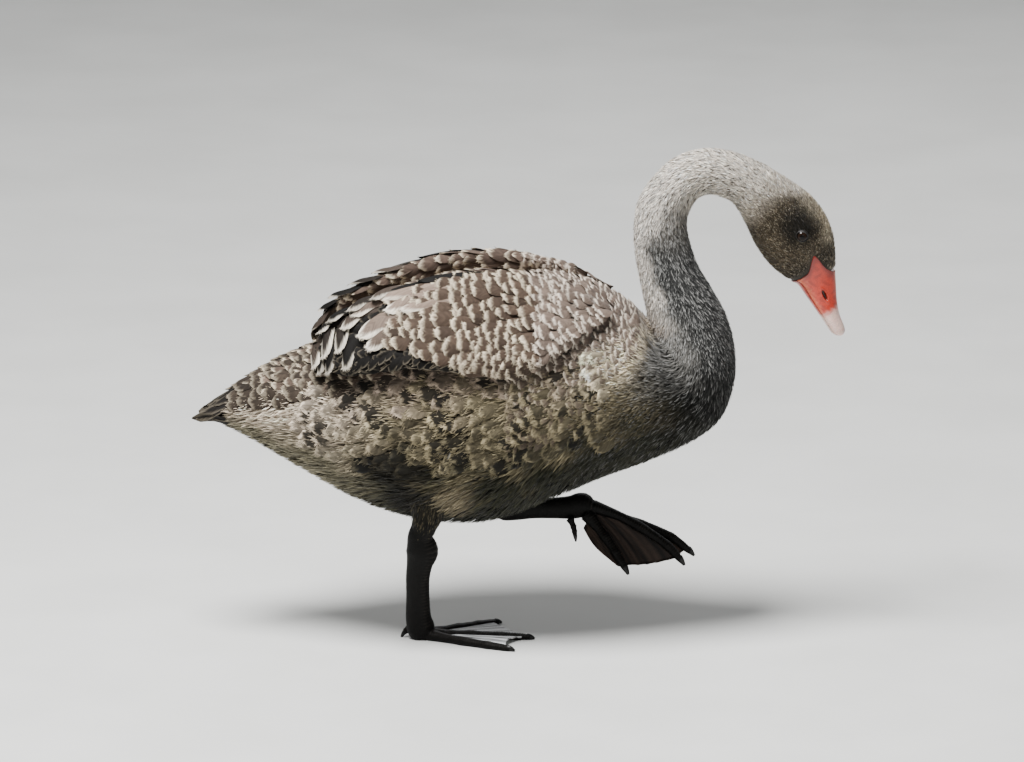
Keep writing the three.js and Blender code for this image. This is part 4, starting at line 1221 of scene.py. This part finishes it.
def neck_flecks(span, count, seed):
    """Darker feathers that show between the pale ones."""
    layer = body_tufts(span, count, seed, 9.0, 1.1, 0.7, 0.25, SILVER, 0.0, None, (4, 2))
    layer["tint"] = np.minimum(layer["tint"], FLECK) * 0.8
    return layer


UPPER_NECK = (STATION["neck waist"], NECK_SPAN[1])
LOWER_NECK = (NECK_SPAN[0], STATION["neck waist"] + 0.3)
coat_piece(
    "upper_neck_coat",
    [neck_streaks(UPPER_NECK, 17000, 2, 8.5, 0.85), neck_flecks(UPPER_NECK, 1100, 3)],
    streaked, "neck_plumage", "neck_rise", "neck_fall")
coat_piece(
    "lower_neck_coat",
    [neck_streaks(LOWER_NECK, 20000, 4, 10.5, 0.85)],
    streaked, "neck_plumage", "neck_low")

# Coat: crop and breast
# The same streaked feathers as on the neck, a little longer and broader, cover the full round crop.
# They are dark slate, painted darker still at the front for its shade, with few silvery tips, and lie
# down and back from the foot of the neck.
CROP_SPAN = (STATION["shoulder"] - 0.4, STATION["neck foot"] - 0.3)


def crop_room(u, turn):
    """The front and sides of the crop: the back between the shoulders has scalloped feathers."""
    back = step_up(np.cos(turn), 0.75, 0.95) * (1 - step_up(u, STATION["crop"], STATION["neck foot"]))
    return 1 - back


coat_piece(
    "crop_coat",
    [body_tufts(CROP_SPAN, 22000, 5, 12.0, 1.1, 0.6, 0.28, SILVER * 0.7, 0.2, crop_room, (4, 2), bend=0.1)],
    streaked, "neck_plumage", "neck_root")

# Coat: flanks and belly
# Long soft down stands loosely on the flanks, the rump and the belly, buff above and olive-grey
# below. It lies in waves.
downy = feather_material("downy", (0.6, 0.25, 0.0), 0.5, barbs=7.0, streak=0.3, roughness=0.9, sheen=0.15)
TRUNK_SPAN = (1.45, STATION["breast"] + 0.5)


def trunk_room(u, turn):
    """The trunk and the rump, but not the back, which has feathers of its own."""
    return 1 - step_up(np.cos(turn), 0.5 + 0.12 * step_up(u, 3, 4), 0.8)


def lie_of_down(u, turn):
    """How far the down is swept from straight back, in waves over the flank."""
    return 0.35 * np.sin(u * 2.1 + 4 * np.sin(turn * 1.5)) * np.sin(turn * 3 + u) + 0.18 * np.sin(turn)


coat_piece(
    "flank_coat",
    [body_tufts(TRUNK_SPAN, 24000, 6, 17.0, 1.7, 0.6, 0.16, None, 0.35, trunk_room, (4, 2),
                sweep=lie_of_down, bend=0.2)],
    downy, "plumage", "torso", "tail")

# Coat: flank feathers
# Over the down of the flanks lie broad soft feathers in loose rows, dark brown at their roots and
# frayed buff at their ends.
soft_fringed = feather_material(
    "soft_fringed", (0.93, 0.1, 0.1), 0.35, barbs=9.0, streak=0.35, roughness=0.85, sheen=0.1)
FRINGE_BUFF = srgb(204, 190, 166)


def in_rows(place, a_span, b_span, pitch, seed, loose=0.07):
    """Root places in staggered rows, by the pitch along the surface and round it."""
    rng = np.random.default_rng(seed)
    a, b = [], []
    row_a = a_span[0]
    middle = np.array([(b_span[0] + b_span[1]) / 2])
    while row_a < a_span[1]:
        along, around, _ = surface_axes(place, np.array([row_a]), middle)
        per_a = pitch[0] * MM / np.linalg.norm(along)
        per_b = pitch[1] * MM / np.linalg.norm(around)
        row = np.arange(b_span[0] + per_b * 0.5 * (len(a) % 2), b_span[1], per_b)
        a.append(row_a + per_a * loose * rng.normal(size=len(row)))
        b.append(row + per_b * loose * rng.normal(size=len(row)))
        row_a += per_a
    return np.concatenate(a), np.concatenate(b)


def scallops(place, spans, roots, grid, long, wide, rise, dark, pale, strength, seed, **way):
    """Fringed feathers: a dark root end, and a pale fringe of the given strength."""
    rng = np.random.default_rng(seed + 200)
    count = len(roots[0])
    tint = varied(np.broadcast_to(dark, (count, 3)).copy(), 0.16, rng)
    fringe = varied(np.broadcast_to(pale, (count, 3)).copy(), 0.1, rng)
    size = rng.uniform(0.84, 1.16, count)
    options = {"roll": 0.16 * rng.normal(size=count), "heading": 0.1 * rng.normal(size=count)}
    options.update(way)
    rim = with_alpha(fringe, strength * rng.uniform(0.8, 1.0, (count, 1)))
    lifted = rise[1] + 0.3 * rng.normal(size=count)
    return lay(
        place, roots, spans, grid, long * size, wide * size, (rise[0], lifted), tint, rim, seed, **options)


BODY_SPANS = ((0, LAST), (-math.pi, math.pi))


def flank_feathers(side, seed):
    rng = np.random.default_rng(seed)
    u, turn = in_rows(body_surface, (3.6, 9.9), (0.98, 1.95), (16, 13), seed, 0.3)
    turn = turn * side
    colour = coat_colour(u, turn, body_surface(u, turn))
    wave = np.sin(u * 4.4 + 1.6 * np.sin(turn * 5))
    blotch = step_up(wave + 0.6 * rng.normal(size=len(u)), -0.6, 0.8)[:, None]
    dark = colour * (0.5 - 0.42 * blotch)
    layer = scallops(
        body_surface, BODY_SPANS, (u, turn), (8, 7), 31.0, 9.6, (-7.0, 2.4), dark, colour * 1.6, 0.95, seed,
        fray=0.04, wave=0.12, cup=0.35, roll=0.15 * rng.normal(size=len(u)),
        heading=side * (0.15 + 0.3 * rng.random(len(u))))
    return [layer, loose_barbs(layer, 20, 6.5, 0.3, seed + 1)]


coat_piece(
    "flank_feathers", flank_feathers(1, 21) + flank_feathers(-1, 23), soft_fringed, "plumage", "torso")

# Coat: back and shoulders
# The back and the shoulders wear small rounded feathers in close staggered rows, each dark at its
# root and pale buff at its end, like scales.
scaled = feather_material(
    "scaled_rows", (0.91, 0.12, 0.1), 0.25, barbs=9.0, streak=0.25, roughness=0.8, sheen=0.05)
SHOULDER_BROWN = srgb(98, 85, 76)
SHOULDER_BUFF = srgb(224, 211, 194)
RUMP_BROWN = srgb(82, 69, 60)


def back_feathers():
    u, turn = in_rows(body_surface, (2.6, 7.8), (-0.95, 0.95), (12, 12), 31)
    layer = scallops(
        body_surface, BODY_SPANS, (u, turn), (7, 5), 25.0, 8.4, (-7.0, 1.8), RUMP_BROWN, FRINGE_BUFF,
        0.9, 31, cup=0.35)
    return [layer, loose_barbs(layer, 12, 4.0, 0.3, 32)]


def shoulder_feathers():
    u, turn = in_rows(body_surface, (7.4, 12.4), (-1.9, 1.9), (7.0, 8.0), 33)
    room = (np.abs(turn) < 1.9 - 0.35 * np.maximum(u - 8.4, 0)) & (u < 12.2 - 0.9 * np.abs(turn))
    u, turn = u[room], turn[room]
    low = step_up(np.abs(turn), 0.9, 1.7)[:, None]
    colour = coat_colour(u, turn, body_surface(u, turn))
    dark = SHOULDER_BROWN * (1 - 0.5 * low) + colour * 0.25 * low
    pale = SHOULDER_BUFF * (1 - low) + colour * 1.3 * low
    layer = scallops(
        body_surface, BODY_SPANS, (u, turn), (6, 5), 15.5, 6.2, (-5.0, 1.4), dark, pale, 0.95, 33,
        cup=0.3, wave=0.05)
    return [layer, loose_barbs(layer, 10, 3.4, 0.28, 34)]


coat_piece("back_coat", back_feathers() + shoulder_feathers(), scaled, "plumage", "torso")

# Coat: wings
# Each folded wing is shingled from the shoulder back: small coverts in even rows, then larger ones,
# dark coverts and growing black quills along the lower edge, and over them long smooth scapulars
# and the dark curled feathers of the hind end.
WING_SPANS = ((-1.5, WING_LAST), (-0.5, 1.1))
# The coverts' dark roots are partly their own dark brown and partly painted shade under the row before
WING_BROWN_AND_ROW_SHADE = srgb(66, 54, 45)
WING_BUFF = srgb(216, 201, 176)
RIDGE_BROWN = srgb(76, 63, 55)
SMOOTH_BROWN = srgb(128, 111, 99)
CURL_BLACK = srgb(15, 13, 11)
WHITE_TIP = srgb(236, 226, 208)


def wing_face(side):
    """The wing's outer face: s runs from its upper edge at 0 to its lower edge at 1."""
    surface = wing_surface(side)

    def place(v, s, out=0.0):
        turn = (0.12 + 0.83 * s) * math.pi
        held = np.clip(v, 0.25, WING_LAST - 0.1)
        point = surface(held, turn, out)
        ahead = surface(held + 0.05, turn, out) - point
        return point + ahead * ((v - held) / 0.05)[..., None]

    return place


def covert_limit(v):
    """How low on the wing the pale coverts reach: less far behind, where the quills show."""
    return np.clip(0.60 + 0.25 * (v - 2.76), 0.45, 1.0)


def wing_coverts(side, seed):
    place = wing_face(side)
    layers = []
    for v_span, s_span, pitch, long, wide, lift, dark, pale in (
        # The first two rows' dark roots carry painted shade under the row before
        ((2.9, 4.5), (0.2, 1.0), (13.5, 12.5), 26, 9.4, 4.0, WING_BROWN_AND_ROW_SHADE, WING_BUFF),
        ((4.45, 6.2), (0.06, 1.03), (11, 11.5), 22, 8.4, 3.6, WING_BROWN_AND_ROW_SHADE, WING_BUFF),
        ((6.1, 8.7), (-0.3, 1.03), (7.6, 9.5), 16, 7.0, 2.6, SHOULDER_BROWN, SHOULDER_BUFF),
    ):
        number = seed + 2 * len(layers)
        v, s = in_rows(place, v_span, s_span, pitch, number, 0.13)
        kept = (s < covert_limit(v)) & ((s > 0.1) | (v < 7.8))
        v = v + 0.3 * (s - 0.5) + 0.1 * np.sin(7 * s + 2 * v)
        layer = scallops(
            place, WING_SPANS, (v[kept], s[kept]), (8, 7), long, wide, (-3.0, lift), dark, pale, 1.0, number,
            cup=0.3, wave=0.06, bend=0.06)
        layers.append(layer)
        layers.append(loose_barbs(layer, 20, 4.4, 0.3, number + 1))
    return layers


def dark_coverts(side, seed):
    """Dark feathers on the hind part of the wing and in the shade of its lower edge."""
    place = wing_face(side)
    v, s = in_rows(place, (0.7, 4.2), (0.0, 0.95), (11, 10), seed, 0.2)
    kept = (v < 2.9) | (s > covert_limit(v) - 0.05)
    layer = scallops(
        place, WING_SPANS, (v[kept], s[kept]), (7, 5), 26.0, 6.6, (-3.0, 0.8), CURL_BLACK,
        WING_BUFF * 0.7, 0.14, seed, cup=0.3, bend=0.4 * side)
    return [layer]


def wing_ridge(side, seed):
    """Long brown feathers along the top of the wing and down its inner face."""
    place = wing_face(side)
    roots = in_rows(place, (1.6, 6.6), (-0.46, 0.06), (12, 9), seed, 0.15)
    layer = scallops(
        place, WING_SPANS, roots, (8, 5), 30.0, 6.6, (-3.0, 2.2), RIDGE_BROWN, WING_BUFF, 0.9, seed,
        bend=0.05, cup=0.35)
    return [layer, loose_barbs(layer, 12, 4.0, 0.3, seed + 1)]


def wing_quills(side, seed):
    """The growing flight feathers: a row of short black blades with pale hind edges."""
    place = wing_face(side)
    rng = np.random.default_rng(seed)
    v = np.arange(1.5, 3.4, 0.17)
    v = v + 0.05 * rng.normal(size=len(v))
    s = 0.68 + 0.05 * (v - 1.5) + 0.03 * rng.normal(size=len(v))
    bars = scallops(
        place, WING_SPANS, (v, s), (8, 5), 22.0, 4.6, (-2.0, 2.2), CURL_BLACK, WING_BUFF * 0.4, 0.3,
        seed, shape=quill_shape, heading=0.8, bend=0.5, roll=-0.3 * side, cup=0.3)
    v = np.arange(1.4, 5.8, 0.16)
    under = scallops(
        place, WING_SPANS, (v, 0.95 + 0 * v), (7, 5), 26.0, 5.0, (-3.0, 0.0), CURL_BLACK, WING_BUFF,
        0.3, seed + 1, shape=quill_shape, heading=0.15, bend=0.2)
    return [bars, under]


# The large feathers of the hind wing. Each has v and s at its root, middle and tip, how far its tip
# hangs below the wing, its half width, its lift, how black it is, and how pale its fringe is.
LARGE_FEATHERS = {
    "dark stripe": ((5.00, 4.20, 3.10), (0.06, 0.05, 0.06), 0, 6.5, 4.4, 1.0, 0.0),
    "hind dark stripe": ((3.90, 3.10, 2.30), (0.07, 0.06, 0.07), 0, 6.0, 5.0, 1.0, 0.2),
    "long scapular": ((4.40, 3.22, 2.10), (0.15, 0.15, 0.12), 0, 9.0, 5.6, 0.0, 0.55),
    "first step curl": ((3.00, 2.40, 2.02), (0.00, -0.02, 0.16), 0, 8.5, 9.0, 0.8, 0.6),
    "second step curl": ((2.35, 1.80, 1.46), (0.00, -0.02, 0.18), 0, 9.0, 9.5, 0.95, 0.6),
    "second scapular": ((3.95, 3.33, 2.70), (0.30, 0.31, 0.37), 0, 9.0, 5.2, 0.0, 0.8),
    "white tipped scapular": ((3.75, 2.99, 2.33), (0.22, 0.25, 0.34), 0, 10.0, 6.0, 0.1, 1.0),
    "big buff feather": ((3.10, 2.24, 1.67), (0.43, 0.38, 0.52), 0, 11.0, 6.4, 0.35, 1.0),
    "big lower feather": ((2.91, 2.33, 1.86), (0.54, 0.53, 0.66), 0, 10.0, 5.6, 0.6, 1.0),
    "upper curl": ((2.60, 1.95, 1.50), (0.12, 0.10, 0.24), 0, 9.0, 6.0, 0.5, 0.8),
    "middle curl": ((2.20, 1.60, 1.25), (0.22, 0.18, 0.36), 0, 9.0, 6.2, 0.8, 0.9),
    "third curl": ((1.75, 1.24, 1.10), (0.22, 0.22, 0.60), 2, 8.5, 5.4, 0.95, 0.9),
    "low curl": ((1.75, 1.38, 1.30), (0.47, 0.54, 0.84), 3, 8.0, 4.4, 1.0, 0.75),
    "third step curl": ((1.80, 1.20, 0.86), (-0.02, -0.03, 0.18), 0, 9.0, 9.5, 1.0, 0.6),
    "fourth step curl": ((1.20, 0.62, 0.26), (-0.02, -0.03, 0.20), 0, 9.0, 8.5, 1.0, 0.8),
    "second curl": ((1.35, 0.64, 0.46), (0.18, 0.08, 0.65), 3, 9.0, 6.0, 0.95, 1.0),
    "second low curl": ((1.10, 0.72, 0.62), (0.42, 0.48, 0.85), 8, 8.0, 4.0, 1.0, 0.6),
    "hind curl": ((0.75, -0.25, -0.30), (0.02, -0.02, 0.80), 9, 9.5, 5.0, 0.85, 1.0),
    "hind low curl": ((0.60, 0.10, -0.02), (0.35, 0.42, 0.85), 12, 8.0, 3.0, 1.0, 0.7),
}


def large_feathers(side, seed):
    place = wing_face(side)
    rows = 16
    share = np.linspace(0, 1, rows)
    rng = np.random.default_rng(seed)
    middle, out, bake, wide, tint, rim = [], [], [], [], [], []
    for v, s, drop, half, lift, black, fringe in LARGE_FEATHERS.values():
        path = through(np.column_stack([v, s]), share * 2)
        height = -3 + (lift + 3) * share**0.6
        _, _, face = surface_axes(place, path[:, 0], path[:, 1])
        line = place(path[:, 0], path[:, 1], 0.0) + face * height[:, None] * MM
        line[:, 2] -= drop * MM * share**2
        middle.append(line)
        out.append(face)
        bake.append(bake_place((path[0, 0], path[0, 1]), WING_SPANS))
        wide.append(half)
        tint.append(SMOOTH_BROWN * (1 - black) + CURL_BLACK * black)
        rim.append(np.append(WHITE_TIP * (1 - 0.25 * black), fringe))
    layer = blades(
        np.array(middle), np.array(out), np.array(bake), 11, np.array(wide), np.array(tint),
        np.array(rim), rng, cup=0.45, wave=0.05, roll=0.12, shape=quill_shape)
    return [layer, loose_barbs(layer, 34, 4.6, 0.3, seed + 1)]


coverts = feather_material(
    "coverts", (0.91, 0.14, 0.08), 0.25, barbs=11.0, streak=0.25, roughness=0.8, sheen=0.05)
silky = feather_material(
    "silky", (0.98, 0.12, 0.42), 0.2, barbs=24.0, streak=0.3, roughness=0.72, sheen=0.0)
for word, side, seed in (("left", 1, 41), ("right", -1, 71)):
    node_name = "wing_" + word
    shingle = wing_coverts(side, seed) + wing_ridge(side, seed + 8)
    coat_piece("wing_coat_" + word, shingle, coverts, "wing_plumage", node_name)
    dark = dark_coverts(side, seed + 12) + wing_quills(side, seed + 14) + large_feathers(side, seed + 18)
    coat_piece("wing_quills_" + word, dark, silky, "wing_plumage", node_name)

# Coat: tail
# The short tail is a fan of dark brown quills, set in the tail's end above and below it, under
# rows of dark brown coverts with thin pale ends.


def tail_coverts(seed):
    u, turn = in_rows(body_surface, (1.85, 4.2), (-1.15, 1.15), (14, 12), seed, 0.12)
    layer = scallops(
        body_surface, BODY_SPANS, (u, turn), (8, 7), 30.0, 8.8, (-5.0, 2.0), TAIL_BROWN * 0.5,
        FRINGE_BUFF * 0.7, 0.5, seed, cup=0.3)
    return [layer, loose_barbs(layer, 8, 3.0, 0.28, seed + 1)]


def tail_quills(seed):
    fan = np.linspace(-1, 1, 12)
    number = np.concatenate([fan, fan])
    under = np.repeat([0, 1], len(fan))
    roots = (2.1 - 0.3 * number**2, 0.5 * number + math.pi * under)
    return scallops(
        body_surface, BODY_SPANS, roots, (10, 7), 62.0, 6.5, (-6.0, 0.8), CURL_BLACK * 1.6,
        FRINGE_BUFF, 0.12, seed, heading=0.28 * number, shape=quill_shape, roll=0.1 * np.sign(number))


coat_piece("tail_coat", tail_coverts(51), scaled, "plumage", "tail")
coat_piece("tail_quills", [tail_quills(53)], silky, "plumage", "tail")

# Coat: thighs
# Short dark fluff covers the thighs down to the bare ankles, thinning over the skin of the legs.
# It hangs down the limb, longer and paler where it meets the belly.


def hanging(surface, last):
    """A limb's surface read from its lower end up, so that feathers lie down along it."""

    def place(a, turn, out=0.0):
        return surface(last - a, turn, out)

    return place


def thigh_tufts(name, seed):
    place = hanging(tube_surface(THIGHS[name]), 4)
    a, turn = scatter(place, (0.1, 4.0), (-math.pi, math.pi), 3200, seed)
    rng = np.random.default_rng(seed)
    shade = step_up(a, 0.6, 3.0)
    tint = varied(blend(THIGH_DARK * 0.8, THIGH_DARK * 2, shade), 0.3, rng)
    rim = with_alpha(np.broadcast_to(FLANK_BUFF, tint.shape), 0.4 * (rng.random((len(a), 1)) < 0.2))
    long = 12.0 * rng.uniform(0.7, 1.2, len(a)) * (0.5 + 0.5 * shade)
    lifted = 2.6 + 0.6 * rng.normal(size=len(a))
    heading = 0.2 * rng.normal(size=len(a))
    roll = 0.3 * rng.normal(size=len(a))
    return lay(
        place, (a, turn), ((0, 4), (-math.pi, math.pi)), (4, 2), long, 1.3, (-1.0, lifted),
        tint, rim, seed, heading=heading, roll=roll, shape=tuft_shape)


coat_piece(
    "thigh_coat", [thigh_tufts("right", 61), thigh_tufts("left", 62)],
    downy, "plumage", "thigh_right", "thigh_left")

# Floor and light
# The model stands on a plain pale floor under soft studio light: one broad lamp above, a weaker one
# from the camera's side and one from behind to part the coat from the floor.
floor_mesh = bpy.data.meshes.new("floor")
FLOOR_HALF = 15.0
floor_mesh.from_pydata(
    [(-FLOOR_HALF, -FLOOR_HALF, 0), (FLOOR_HALF, -FLOOR_HALF, 0),
     (FLOOR_HALF, FLOOR_HALF, 0), (-FLOOR_HALF, FLOOR_HALF, 0)], [], [(0, 1, 2, 3)])
floor = bpy.data.objects.new("floor", floor_mesh)
bpy.context.scene.collection.objects.link(floor)
floor_finish, floor_tree, floor_shader = new_material("pale_floor", Roughness=0.85)
grain = noise(floor_tree, put(floor_tree, "TexCoord")["Object"], 6.0, 4.0)
floor_tone = smooth_step(floor_tree, grain, 0.2, 0.8)
floor_tree.links.new(
    mix(floor_tree, floor_tone, (0.60, 0.60, 0.58, 1), (0.66, 0.66, 0.64, 1)), floor_shader["Base Color"])
floor.data.materials.append(floor_finish)


def lamp(name, place, size, watts, aim=(0, 0, 0.25)):
    light = bpy.data.lights.new(name, "AREA")
    light.shape = "DISK"
    light.size = size
    light.energy = watts
    holder = bpy.data.objects.new(name, light)
    holder.location = place
    holder.rotation_euler = (Vector(aim) - Vector(place)).to_track_quat("-Z", "Y").to_euler()
    bpy.context.scene.collection.objects.link(holder)


lamp("key_lamp", (-0.6, -0.8, 2.7), 1.3, 235)
lamp("fill_lamp", (1.2, -2.6, 1.2), 2.0, 8)
lamp("back_lamp", (0.4, 2.4, 1.8), 1.6, 24)
world = bpy.data.worlds.new("studio")
world.use_nodes = True
world.node_tree.nodes["Background"].inputs["Color"].default_value = (0.95, 0.98, 1.0, 1)
world.node_tree.nodes["Background"].inputs["Strength"].default_value = 0.24
bpy.context.scene.world = world
